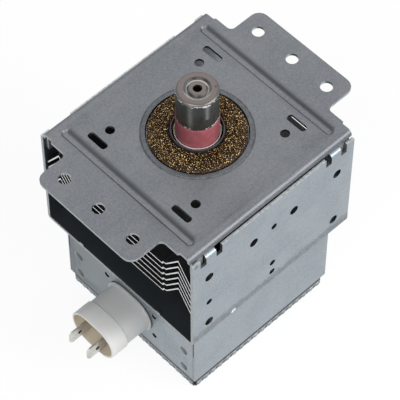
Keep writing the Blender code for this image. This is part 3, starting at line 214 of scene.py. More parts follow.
class Recipe(Graph):
    """One material under construction, with a Principled shader at its end."""

    def __init__(self, name: str) -> None:
        """Start a material and read the Object coordinates in metres.

        Args:
            name: The material's name.
        """
        self.material = bpy.data.materials.new(name)
        self.material.use_nodes = True
        super().__init__(self.material.node_tree)
        self.shader = self.tree.nodes["Principled BSDF"]
        self.place = Signal(self, self.node("ShaderNodeTexCoord").outputs["Object"])
        split = self.node("ShaderNodeSeparateXYZ", None, {0: self.place})
        self.axes = [Signal(self, socket) for socket in split.outputs]
        self.x, self.y, self.z = self.axes

    def along(self, bearing: float) -> Signal:
        """Return how far a point lies along a bearing, an angle from +X round the antenna's axis."""
        return self.x * math.cos(bearing) + self.y * math.sin(bearing)

    def noise(
        self, scale: float, detail: float = 2.0, roughness: float = 0.5, stretch: Vector | None = None
    ) -> Signal:
        """Return a smooth noise.

        Args:
            scale: Features for each metre.
            detail: How many finer layers are added.
            roughness: How strong those layers are.
            stretch: A further factor for each axis.

        Returns:
            A value from 0 to 1, mostly near 0.5.
        """
        place = self.place
        if stretch is not None:
            place = self.node("ShaderNodeMapping", None, {"Vector": place, "Scale": stretch})
        values = {"Vector": place, "Scale": scale, "Detail": detail, "Roughness": roughness}
        return self.signal("ShaderNodeTexNoise", None, values)

    def streaks(
        self, axis: Axis, along: float, across: float, detail: float = 2.0, roughness: float = 0.5
    ) -> Signal:
        """Return a noise with a grain.

        Args:
            axis: The grain's direction.
            along: Features for each metre along it.
            across: Features for each metre across it.
            detail: How many finer layers are added.
            roughness: How strong those layers are.

        Returns:
            A value from 0 to 1, mostly near 0.5.
        """
        stretch = Vector([along if k == axis.value else across for k in range(3)])
        return self.noise(1.0, detail, roughness, stretch)

    def blend(self, mask: Signal | float, first: Signal | Colour, second: Signal | Colour) -> Signal:
        """Mix two colours.

        Args:
            mask: 0 gives the first and 1 gives the second.
            first: A colour or the result of another blend.
            second: A colour or the result of another blend.

        Returns:
            The mixed colour.
        """
        settings = {"data_type": "RGBA", "clamp_factor": True}
        node = self.node("ShaderNodeMix", settings, {0: mask, 6: first, 7: second})
        return Signal(self, node.outputs[2])

    def marked(
        self, colour: Signal, marks: "Marks", metallic: float = 0.0, loss: float = 0.0
    ) -> tuple[Signal, Signal | float]:
        """Lay marks over a colour.

        Args:
            colour: The colour under them.
            marks: Each mark with its tone.
            metallic: The metallic value under them.
            loss: What a full mark takes from it.

        Returns:
            The colour and the metallic value.
        """
        for mark, tone in marks:
            weight = mark.mask(self)
            colour = self.blend(weight, colour, tone)
            if loss > 0:
                metallic = metallic - weight * loss
        return colour, metallic

    def finish(
        self,
        colour: Signal | Colour,
        roughness: Signal | float,
        metallic: Signal | float,
        height: Signal,
        depth: float,
        strength: float,
    ) -> Material:
        """Connect the shader.

        Args:
            colour: The base colour.
            roughness: The roughness.
            metallic: The metallic value.
            height: A relief from 0 to 1 for a Bump node.
            depth: The relief's depth in metres.
            strength: How much of the relief shows.

        Returns:
            The finished material.
        """
        values = {"Height": height, "Distance": depth, "Strength": strength}
        relief = self.node("ShaderNodeBump", None, values)
        feeds = {"Base Color": colour, "Roughness": roughness, "Metallic": metallic, "Normal": relief}
        for key, value in feeds.items():
            self.feed(self.shader.inputs[key], value)
        return self.material


def shade(colour: Colour, factor: float) -> Colour:
    """Return a colour times a factor, with no channel over 1."""
    return tuple(min(1.0, factor * value) for value in colour)


@dataclass(frozen=True)
class Zone:
    """A box, or all that is outside its sides, with an optional ragged boundary."""

    half_x: float = FAR
    half_y: float = FAR
    low_z: float = -FAR
    high_z: float = FAR
    share: float = 1.0
    outside: bool = False
    blur: float = 0.00005
    ragged: float = 0.0

    def holds(self, place: Vector) -> bool:
        """Return whether a point lies in the box."""
        within = abs(place.x) < self.half_x and abs(place.y) < self.half_y
        return within and self.low_z < place.z < self.high_z

    def mask(self, recipe: Recipe) -> Signal:
        """Return the zone's weight.

        Args:
            recipe: The material that reads it.

        Returns:
            A value from 0 to the zone's share.
        """
        within = abs(recipe.x).below(self.half_x) * abs(recipe.y).below(self.half_y)
        z = recipe.z
        if self.outside:
            within = 1.0 - within
        if self.ragged > 0:
            jitter = recipe.noise(420.0, 5.0, 0.75)
            z = z + (jitter - 0.5) * self.ragged
            within = within * (0.55 + jitter.ramp(0.40, 0.60) * 0.45)
        return within * z.between(self.low_z, self.high_z, self.blur) * self.share


@dataclass(frozen=True)
class Glints(Zone):
    """Broken bright dashes in a band of heights."""

    blur: float = 0.0001
    scale: float = 900.0
    level: float = 0.52

    def mask(self, recipe: Recipe) -> Signal:
        """Return the dashes' weight in a material, from 0 to their share."""
        dashes = recipe.noise(self.scale, 1.0).ramp(self.level, self.level + 0.06)
        return super().mask(recipe) * dashes


@dataclass(frozen=True)
class Ring:
    """A ring round the antenna's axis, whole or strongest on the side of one bearing."""

    inner: float
    outer: float
    share: float
    bearing: float | None = None
    speckles: float = 0.0
    blur: float = 0.00012
    low_z: float = -FAR

    def mask(self, recipe: Recipe) -> Signal:
        """Return the ring's weight.

        Args:
            recipe: The material that reads it.

        Returns:
            A value from 0 to the ring's share.
        """
        reach = recipe.x.length(recipe.y)
        weight = reach.between(self.inner, self.outer, self.blur) * recipe.z.above(self.low_z) * self.share
        if self.speckles > 0:
            weight = weight * (1.0 - recipe.noise(700.0, 2.0, 0.6).ramp(0.42, 0.58) * self.speckles)
        if self.bearing is not None:
            weight = weight * (recipe.along(self.bearing) / reach).ramp(0.15, 0.75)
        return weight


@dataclass(frozen=True)
class GrooveShade:
    """Painted shade on the far side of a pressed groove that runs along X, fading out beyond it."""

    centre_y: float
    half_width: float
    half_length: float
    share: float

    def mask(self, recipe: Recipe) -> Signal:
        """Return the shade's weight.

        Args:
            recipe: The material that reads it.

        Returns:
            A value from 0 to the shade's share, strongest on the +Y slope.
        """
        across = recipe.y - self.centre_y
        slope = across.ramp(0.1 * self.half_width, 0.7 * self.half_width)
        slope = slope * across.fall(0.7 * self.half_width, 1.7 * self.half_width)
        return slope * abs(recipe.x).fall(0.96 * self.half_length, self.half_length) * self.share


@dataclass(frozen=True)
class Stripe:
    """An upright stripe, set by how far it lies from the antenna's axis along one bearing."""

    bearing: float
    centre: float
    half_width: float
    share: float
    blur: float = 0.0008
    mirrored: bool = False
    low_z: float = -FAR
    high_z: float = FAR

    def mask(self, recipe: Recipe) -> Signal:
        """Return the stripe's weight.

        Args:
            recipe: The material that reads it.

        Returns:
            A value from 0 to the stripe's share.
        """
        across = abs(recipe.along(self.bearing)) if self.mirrored else recipe.along(self.bearing)
        body = abs(across - self.centre).fall(self.half_width - self.blur, self.half_width + self.blur)
        return body * recipe.z.above(self.low_z) * recipe.z.below(self.high_z) * self.share


@dataclass(frozen=True)
class Spot:
    """A round spot on a face across one axis, plain, broken into specks or fading towards one side."""

    across: Axis
    centre: Vector
    radius: float
    share: float
    specks: float = 0.0
    core: float = 0.8
    lean: float = 0.0
    start: float = -0.3

    def mask(self, recipe: Recipe) -> Signal:
        """Return the spot's weight.

        Args:
            recipe: The material that reads it.

        Returns:
            A value from 0 to the spot's share.
        """
        first, second = (recipe.axes[k] - self.centre[k] for k in range(3) if k != self.across.value)
        weight = first.length(second).fall(self.core * self.radius, self.radius) * self.share
        if self.specks > 0:
            weight = weight * (1.0 - recipe.noise(1900.0, 1.0).ramp(0.46, 0.54) * self.specks)
        if self.lean != 0:
            slope = (first + second) * self.lean
            weight = weight * slope.ramp(self.start * self.radius, 0.9 * self.radius)
        return weight


@dataclass(frozen=True)
class Valleys:
    """Painted shade in the gaps between bumps in a row along each upright wall of a square tray."""

    half_x: float
    half_y: float
    pitch: float
    half_width: float
    high_z: float
    share: float

    def mask(self, recipe: Recipe) -> Signal:
        """Return the gaps' weight.

        Args:
            recipe: The material that reads it.

        Returns:
            A value from 0 to the gaps' share.
        """
        rows = []
        for across, edge, along in ((recipe.x, self.half_x, recipe.y), (recipe.y, self.half_y, recipe.x)):
            turns = along / self.pitch
            offset = abs(turns - turns.rounded()) * self.pitch
            rows.append(abs(across).above(edge) * offset.fall(0.4 * self.half_width, self.half_width))
        return (rows[0] + rows[1]) * recipe.z.fall(0.7 * self.high_z, self.high_z) * self.share


@dataclass(frozen=True)
class OvalBore:
    """The space inside an oval that runs along Y, such as the connector's mouth."""

    reach: float
    radius: float
    centre_z: float

    def mask(self, recipe: Recipe) -> Signal:
        """Return 1 in the bore and 0 round it."""
        across = (abs(recipe.x) - self.reach).at_least(0.0)
        return across.length(recipe.z - self.centre_z).below(self.radius)


@dataclass(frozen=True)
class ScribedLine:
    """A faint straight scratch on the +X wall, from one point to another in Y and Z."""

    start: tuple[float, float]
    end: tuple[float, float]
    width: float = 0.00016
    share: float = 0.4

    def mask(self, recipe: Recipe) -> Signal:
        """Return the line's weight.

        Args:
            recipe: The material that reads it.

        Returns:
            A value from 0 to the line's share.
        """
        run = Vector(self.end) - Vector(self.start)
        half = run.length / 2
        run.normalize()
        y = recipe.y - self.start[0]
        z = recipe.z - self.start[1]
        across = abs(y * run.y - z * run.x).fall(0.4 * self.width, self.width)
        return across * abs(y * run.x + z * run.y - half).below(half) * self.share


Mark = Zone | Ring | GrooveShade | Stripe | Spot | Valleys | OvalBore | ScribedLine
Marks = tuple[tuple[Mark, Colour], ...]


@dataclass(frozen=True)
class ZincSheet:
    """Zinc plated sheet steel with cloudy tone, rolling streaks, fine specks and scratches."""

    name: str
    tone: Colour
    cloud_tone: Colour
    grain: Axis
    roughness: float = 0.40
    metallic: float = 0.80
    scratches: float = 0.3
    streaks: float = 0.2
    marks: Marks = ()
    lines: tuple[ScribedLine, ...] = ()

    def make(self) -> Material:
        """Build the material.

        Returns:
            The finished material.
        """
        recipe = Recipe(self.name)
        streaks = recipe.streaks(self.grain, 40.0, 1100.0, 3.0, 0.6)
        clouds = recipe.noise(55.0, 4.0, 0.6)
        grain = recipe.noise(1500.0, 2.0, 0.6)
        darker = shade(self.tone, 0.62)
        colour = recipe.blend(clouds.ramp(0.36, 0.64), self.tone, self.cloud_tone)
        colour = recipe.blend(streaks.ramp(0.50, 0.78) * self.streaks, colour, darker)
        colour = recipe.blend(grain.ramp(0.50, 0.72) * 0.5, colour, shade(self.cloud_tone, 1.28))
        colour = recipe.blend(grain.fall(0.30, 0.48) * 0.4, colour, darker)
        scratches = self.scratch_mask(recipe)
        colour = recipe.blend(scratches * self.scratches, colour, darker)
        colour, metallic = recipe.marked(colour, self.marks, self.metallic, 0.25)
        colour, _ = recipe.marked(colour, tuple((line, darker) for line in self.lines))
        roughness = self.roughness + clouds * 0.12 + grain * 0.10 - 0.1
        height = clouds * 0.3 + streaks * 0.2 + grain * 0.6 - scratches * 0.4
        return recipe.finish(colour, roughness, metallic, height, 0.00004, 0.45)

    def scratch_mask(self, recipe: Recipe) -> Signal:
        """Return thin, broken scratches in two directions.

        Args:
            recipe: The material that reads them.

        Returns:
            A value from 0 to 1.
        """
        masks = []
        for stretch, level in SCRATCHES:
            masks.append(recipe.noise(1.0, 1.0, 0.5, stretch).ramp(level - 0.03, level))
        return masks[0] + masks[1]


@dataclass(frozen=True)
class ShearedEdge:
    """The bare cut edge of a sheet, or the wall of a hole in it."""

    name: str
    tone: Colour
    marks: Marks = ()

    def make(self) -> Material:
        """Build the material.

        Returns:
            The finished material.
        """
        recipe = Recipe(self.name)
        grain = recipe.streaks(Axis.Z, 2500.0, 800.0)
        colour = recipe.blend(grain.ramp(0.4, 0.7), self.tone, shade(self.tone, 0.7))
        colour, _ = recipe.marked(colour, self.marks)
        return recipe.finish(colour, 0.35 + grain * 0.15, 0.85, grain, 0.00003, 0.4)


@dataclass(frozen=True)
class WireMesh:
    """Knitted copper-alloy wire, from pale gold to dark brown."""

    name: str
    bright: Colour
    dark: Colour
    roughness: float
    metallic: float

    def make(self) -> Material:
        """Build the material.

        Returns:
            The finished material.
        """
        recipe = Recipe(self.name)
        fine = recipe.noise(2000.0)
        patches = (fine * 0.85 + recipe.noise(240.0) * 0.15).ramp(0.49, 0.66)
        colour = recipe.blend(patches, self.dark, self.bright)
        return recipe.finish(colour, self.roughness + fine * 0.2, self.metallic, fine, 0.00006, 0.7)


@dataclass(frozen=True)
class DrawnMetal:
    """A drawn or turned metal part with faint rings or streaks and a slight tarnish."""

    name: str
    tone: Colour
    tarnish: Colour
    roughness: float
    metallic: float = 0.95
    grain: Axis = Axis.Z
    top_z: float = FAR
    top_tone: Colour = (0.0, 0.0, 0.0)
    top_metallic: float = 0.5
    marks: Marks = ()

    def make(self) -> Material:
        """Build the material.

        Returns:
            The finished material.
        """
        recipe = Recipe(self.name)
        streaks = recipe.streaks(self.grain, 60.0, 1500.0)
        patches = recipe.noise(260.0, 3.0)
        colour = recipe.blend(patches.ramp(0.4, 0.7) * 0.7, self.tone, self.tarnish)
        colour = recipe.blend(streaks.ramp(0.5, 0.75) * 0.35, colour, self.tarnish)
        metallic: Signal | float = self.metallic
        if self.top_z < FAR:
            top = recipe.z.ramp(self.top_z - 0.0004, self.top_z)
            colour = recipe.blend(top, colour, self.top_tone)
            metallic = self.metallic - top * (self.metallic - self.top_metallic)
        colour, metallic = recipe.marked(colour, self.marks, metallic, 0.6 * self.metallic)
        roughness = self.roughness + streaks * 0.12 + patches * 0.08
        return recipe.finish(colour, roughness, metallic, streaks, 0.00002, 0.35)


@dataclass(frozen=True)
class Ceramic:
    """Fired ceramic with a faint mottle and a thin gloss."""

    name: str
    tone: Colour
    mottle: Colour
    roughness: float
    coat: float
    marks: Marks = ()

    def make(self) -> Material:
        """Build the material.

        Returns:
            The finished material.
        """
        recipe = Recipe(self.name)
        grit = recipe.noise(3800.0, 1.0)
        colour = recipe.blend(recipe.noise(420.0, 3.0).ramp(0.35, 0.7), self.tone, self.mottle)
        colour, _ = recipe.marked(colour, self.marks)
        recipe.feed(recipe.shader.inputs["Coat Weight"], self.coat)
        recipe.feed(recipe.shader.inputs["Coat Roughness"], 0.2)
        return recipe.finish(colour, self.roughness + grit * 0.1, 0.0, grit, 0.00002, 0.3)


@dataclass(frozen=True)
class MouldedPlastic:
    """Matt moulded plastic, cast resin or pressed ferrite with a fine grain and light soiling."""

    name: str
    tone: Colour
    soil: Colour
    roughness: float
    grain_scale: float = 2200.0
    marks: Marks = ()

    def make(self) -> Material:
        """Build the material.

        Returns:
            The finished material.
        """
        recipe = Recipe(self.name)
        cloud = recipe.noise(130.0, 3.0)
        grain = recipe.noise(self.grain_scale)
        colour, _ = recipe.marked(recipe.blend(cloud.ramp(0.45, 0.8), self.tone, self.soil), self.marks)
        height = grain * 0.6 + cloud * 0.4
        return recipe.finish(colour, self.roughness + grain * 0.1, 0.0, height, 0.00003, 0.35)


def from_bmesh(bm: bmesh.types.BMesh, name: str) -> Mesh:
    """Turn an edit mesh into a plain one and free it.

    Args:
        bm: The edit mesh.
        name: The new mesh's name.

    Returns:
        The new mesh.
    """
    mesh = bpy.data.meshes.new(name)
    bm.to_mesh(mesh)
    bm.free()
    return mesh


def link_piece(name: str, mesh: Mesh, sharp_angle: float = 32.0) -> Object:
    """Put a mesh into the scene, smooth apart from its sharp edges.

    Args:
        name: The piece's name.
        mesh: Its mesh.
        sharp_angle: Edges sharper than this, in degrees, stay sharp.

    Returns:
        The new object, at the origin.
    """
    mesh.materials.clear()
    mesh.shade_smooth()
    mesh.set_sharp_from_angle(angle=math.radians(sharp_angle))
    piece = bpy.data.objects.new(name, mesh)
    bpy.context.scene.collection.objects.link(piece)
    return piece


def fine_copy(node: str, name: str, flat_angle: float = 0.3) -> Object:
    """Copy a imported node's mesh with its loose triangles joined and its flats merged.

    Args:
        node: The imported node.
        name: The new piece's name.
        flat_angle: Faces that meet within this angle, in degrees, become one.

    Returns:
        The new object, at the origin.
    """
    bm = bmesh.new()
    bm.from_mesh(bpy.data.objects[node].data)
    bmesh.ops.remove_doubles(bm, verts=bm.verts[:], dist=2e-6)
    bmesh.ops.dissolve_degenerate(bm, edges=bm.edges[:], dist=1e-6)
    bmesh.ops.dissolve_limit(bm, angle_limit=math.radians(flat_angle), verts=bm.verts[:], edges=bm.edges[:])
    return link_piece(name, from_bmesh(bm, name))


def bake_modifiers(piece: Object) -> Object:
    """Turn a piece's live modifiers into plain mesh.

    Args:
        piece: An object at the origin.

    Returns:
        The same object, with no modifier left.
    """
    graph = bpy.context.evaluated_depsgraph_get()
    evaluated = piece.evaluated_get(graph)
    mesh = bpy.data.meshes.new_from_object(evaluated, preserve_all_data_layers=True, depsgraph=graph)
    piece.modifiers.clear()
    old = piece.data
    piece.data = mesh
    mesh.name = piece.name
    bpy.data.meshes.remove(old)
    return piece


def soften(piece: Object, width: float, segments: int = 2, angle: float = 38.0) -> Object:
    """Give a piece's sharp edges a small round.

    Args:
        piece: The object.
        width: The round's width in metres.
        segments: Facets across the round.
        angle: Edges sharper than this, in degrees, are rounded.

    Returns:
        The same object.
    """
    bevel = piece.modifiers.new("edge_round", "BEVEL")
    bevel.width = width
    bevel.segments = segments
    bevel.limit_method = "ANGLE"
    bevel.angle_limit = math.radians(angle)
    bevel.harden_normals = True
    bevel.use_clamp_overlap = True
    return bake_modifiers(piece)


def mark_cut_edges(
    piece: Object, thickness: float, holes: Zone | None = None, slack: float = 0.12
) -> None:
    """Give the narrow faces across a sheet's thickness the piece's second material.

    Args:
        piece: A sheet part before its edges are rounded.
        thickness: The sheet's thickness in metres.
        holes: A region whose cut faces, the walls of holes, take the third material instead.
        slack: How far a side may be off the thickness, as a share of it.
    """
    mesh = piece.data
    for face in mesh.polygons:
        corners = [mesh.vertices[k].co for k in face.vertices]
        sides = [(a - b).length for a, b in zip(corners, corners[1:] + corners[:1])]
        across = sum(abs(side - thickness) < thickness * slack for side in sides)
        if across >= 2 and face.area < thickness * 1.05 * sum(sides) / 2:
            face.material_index = 2 if holes is not None and holes.holds(face.center) else 1


class GeometryGraph(Graph):
    """A Geometry Nodes tree with named inputs."""

    def __init__(self, name: str, kinds: dict[str, str]) -> None:
        """Start a tree.

        Args:
            name: The tree's name.
            kinds: Its inputs after the geometry, each with its kind, such as Float.
        """
        super().__init__(bpy.data.node_groups.new(name, "GeometryNodeTree"))
        face = self.tree.interface
        for key, kind in {"Geometry": "Geometry", **kinds}.items():
            face.new_socket(key, in_out="INPUT", socket_type="NodeSocket" + kind)
        face.new_socket("Geometry", in_out="OUTPUT", socket_type="NodeSocketGeometry")
        self.inputs = self.node("NodeGroupInput").outputs

    def close(self, instances: Node, finishes: dict[str, object]) -> None:
        """End the tree with real faces that carry their materials.

        Args:
            instances: The node that places the instances.
            finishes: The material inputs' names, each with what selects its faces, or True for all.
        """
        last = self.node("GeometryNodeRealizeInstances", None, {0: instances})
        for name, chosen in finishes.items():
            values = {"Geometry": last, "Selection": chosen, "Material": self.inputs[name]}
            last = self.node("GeometryNodeSetMaterial", None, values)
        self.node("NodeGroupOutput", None, {0: last})

    def grow(self, piece: Object, values: dict[str, object]) -> Object:
        """Run the tree on a piece and keep the result as plain mesh.

        Args:
            piece: The object that the tree starts from.
            values: The tree's inputs by name.

        Returns:
            The same object with the grown mesh.
        """
        step = piece.modifiers.new(self.tree.name, "NODES")
        step.node_group = self.tree
        for item in self.tree.interface.items_tree:
            if item.in_out == "INPUT" and item.name in values:
                step[item.identifier] = values[item.name]
        return bake_modifiers(piece)


@dataclass
class SubAssembly:
    """A group of pieces that ride on the one body."""

    nodes: dict[str, Object]
    made: list[str] = field(default_factory=list)

    def keep(self, node: str, material: Material) -> None:
        """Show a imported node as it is, with a detailed finish.

        Args:
            node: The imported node.
            material: Its finish.
        """
        data = self.nodes[node].data
        data.materials.clear()
        data.materials.append(material)
        self.made.append(node)

    def ride(self, piece: Object, slot: str, materials: list[Material], *nodes: str) -> None:
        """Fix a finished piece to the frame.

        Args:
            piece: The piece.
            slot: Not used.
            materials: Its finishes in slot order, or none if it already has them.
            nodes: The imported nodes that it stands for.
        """
        for material in materials:
            piece.data.materials.append(material)
        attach(piece, BODY)
        if nodes:
            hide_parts(*nodes)
        self.made.append(piece.name)

    def smooth_copy(
        self, slot: str, material: Material, *nodes: str, width: float = 0.0, segments: int = 2
    ) -> None:
        """Replace nodes by copies with smooth round faces and softened edges.

        Args:
            slot: The record's material slot.
            material: The finish.
            nodes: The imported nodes.
            width: The edge round in metres, or 0 for none.
            segments: Facets across the round.
        """
        for node in nodes:
            piece = fine_copy(node, node + "_fine")
            if width > 0:
                piece = soften(piece, width, segments)
            self.ride(piece, slot, [material], node)

    def sheet_copy(
        self, node: str, finishes: list[Material], thickness: float, holes: Zone, width: float
    ) -> None:
        """Replace a sheet of plated steel by a copy with bare cut edges and softened corners.

        Args:
            node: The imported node.
            finishes: The finish of its faces, of its cut edges and of the walls of its holes.
            thickness: The sheet's thickness in metres.
            holes: The region where cut faces are walls of holes.
            width: The edge round in metres.
        """
        piece = fine_copy(node, node + "_fine")
        for finish in finishes:
            piece.data.materials.append(finish)
        mark_cut_edges(piece, thickness, holes)
        self.ride(soften(piece, width), "zinc_plated_steel", [], node)

    def report(self) -> None:
        """Log the pieces of this group."""
        LOG.info("%s: %s", type(self).__name__, ", ".join(self.made))


@dataclass
class YokeSheets(SubAssembly):
    """The folded yoke frame and the upper plate clinched into it."""

    sheet: float = 0.0012
    edge_round: float = 0.00016
    floor_rise: float = 0.0009
    wall_inset: float = 0.00025
    front_inset: float = 0.0002
    bend_height: float = 0.0056
    end_strip: float = 0.0040
    seat_radius: float = 0.0184
    rim_radius: float = 0.0202
    rim_width: float = 0.0006
    rib_inset: float = 0.0211
    rib_half_width: float = 0.0021
    rib_half_length: float = 0.0330
    lip_gap: float = 0.0001
    notch_depth: float = 0.0045
    glint: tuple[float, float] = (-0.0194, 0.0449)
    dark_spot: tuple[float, float] = (-0.0382, 0.0938)
    # Tones: a painted glint, painted shade on notch walls, painted light on the ears, fold and lip, painted
    # shade inside the frame and in the plate's grooves, a darker band along the walls' foot, and a dark
    # spot.
    glint_tone: Colour = (1.0, 1.0, 1.0)
    notch_tone: Colour = (0.17, 0.195, 0.195)
    ear_light: Colour = (0.29, 0.31, 0.31)
    fold_highlight: Colour = (0.90, 0.95, 0.97)
    lip_light: Colour = (0.37, 0.415, 0.41)
    dark_tone: Colour = (0.060, 0.073, 0.081)
    bend_tone: Colour = (0.120, 0.136, 0.146)
    groove_tone: Colour = (0.050, 0.054, 0.060)

    def build(self) -> None:
        """Make both sheets."""
        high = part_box("yoke_frame")[1]
        cut = ShearedEdge("sheared_steel", (0.40, 0.425, 0.43)).make()
        # Painted shade: the walls of holes and notches are near black; near the frame's top the notch walls
        # take a lighter painted shade.
        notch = Zone(low_z=high.z - self.notch_depth)
        walls = Zone(half_y=high.y - self.end_strip, high_z=high.z - 0.5 * self.sheet)
        middle = Zone(high.x - self.end_strip, high.y - self.end_strip)
        for node, steel, holes, tone, marks in (
            ("yoke_frame", self.frame_steel(), walls, (0.055, 0.06, 0.068), ((notch, self.notch_tone),)),
            ("upper_yoke_plate", self.plate_steel(), middle, (0.09, 0.095, 0.10), ()),
        ):
            wall = ShearedEdge(node + "_hole_walls", tone, marks).make()
            self.sheet_copy(node, [steel, cut, wall], self.sheet, holes, self.edge_round)
        self.report()

    def frame_steel(self) -> Material:
        """Make the frame's plating, with painted shade inside and a darker ragged band along the foot of
        its outer walls.

        Returns:
            The finished material.
        """
        low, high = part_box("yoke_frame")
        # Painted shade on the frame's inner faces.
        inside = Zone(
            half_x=high.x - self.wall_inset,
            half_y=high.y - self.front_inset,
            low_z=low.z + self.floor_rise,
            high_z=high.z - 1.2 * self.sheet,
        )
        # A darker band with a ragged top along the foot of the outer walls.
        bend = Zone(
            half_x=high.x - self.sheet,
            low_z=low.z - self.sheet,
            high_z=low.z + self.bend_height,
            share=0.82,
            outside=True,
            blur=0.0008,
            ragged=0.0120,
        )
        # Painted highlight: a white glint at the foot of the +X wall.
        glint = Spot(Axis.X, Vector((0.0, *self.glint)), 0.0013, 1.0, specks=0.55)
        # A dark spot near the front corner of the lip.
        dark_spot = Spot(Axis.X, Vector((0.0, *self.dark_spot)), 0.0010, 0.8, specks=0.4)
        return ZincSheet(
            "yoke_zinc",
            ZINC,
            ZINC_CLOUD,
            Axis.Y,
            marks=(
                (bend, self.bend_tone),
                (dark_spot, self.dark_tone),
                (inside, self.dark_tone),
                (glint, self.glint_tone),
            ),
            lines=(
                ScribedLine((0.0255, 0.0805), (0.0255, 0.0885)),
                ScribedLine((-0.0360, 0.0640), (-0.0060, 0.0650)),
                ScribedLine((0.0330, 0.0530), (0.0330, 0.0700), share=0.2),
            ),
        ).make()

    def plate_steel(self) -> Material:
        """Make the plate's plating, with a darker band round its seat, painted shade in its creases and rib
        grooves, and painted light on its folds, lips and ears.

        Returns:
            The finished material.
        """
        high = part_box("yoke_frame")[1]
        rib_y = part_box("upper_yoke_plate")[1].y - self.rib_inset
        # A darker speckled band round the gasket's seat; painted shade in the crease at the seat's embossed
        # rim and on the far slope of each rib groove.
        grooves = (
            Ring(self.seat_radius, self.rim_radius, 0.62, speckles=0.35),
            Ring(self.rim_radius, self.rim_radius + self.rim_width, 0.9, speckles=0.45),
            *(GrooveShade(y, self.rib_half_width, self.rib_half_length, 0.75) for y in (-rib_y, rib_y)),
        )
        edge = high.x - 0.5 * self.sheet
        fold_z = high.z + 1.6 * self.sheet
        # Painted highlight along the lip's fold, and painted light on the lip's face and on the ears seen
        # through the notches.
        fold = Stripe(0.0, edge, 0.0008, 0.6, blur=0.0004, mirrored=True, low_z=fold_z)
        lip = Stripe(0.0, edge, 0.0008, 0.7, blur=0.0002, mirrored=True, high_z=fold_z)
        ear = Zone(low_z=0.0, high_z=high.z + self.lip_gap, share=0.85)
        marks = [(groove, self.groove_tone) for groove in grooves]
        marks += [(fold, self.fold_highlight), (lip, self.lip_light), (ear, self.ear_light)]
        # Painted shade: the plate's zinc is about half as bright as the frame's, for how light falls on its
        # top.
        return ZincSheet(
            "plate_zinc", (0.136, 0.144, 0.158), (0.158, 0.166, 0.178), Axis.Y, 0.42, marks=tuple(marks)
        ).make()


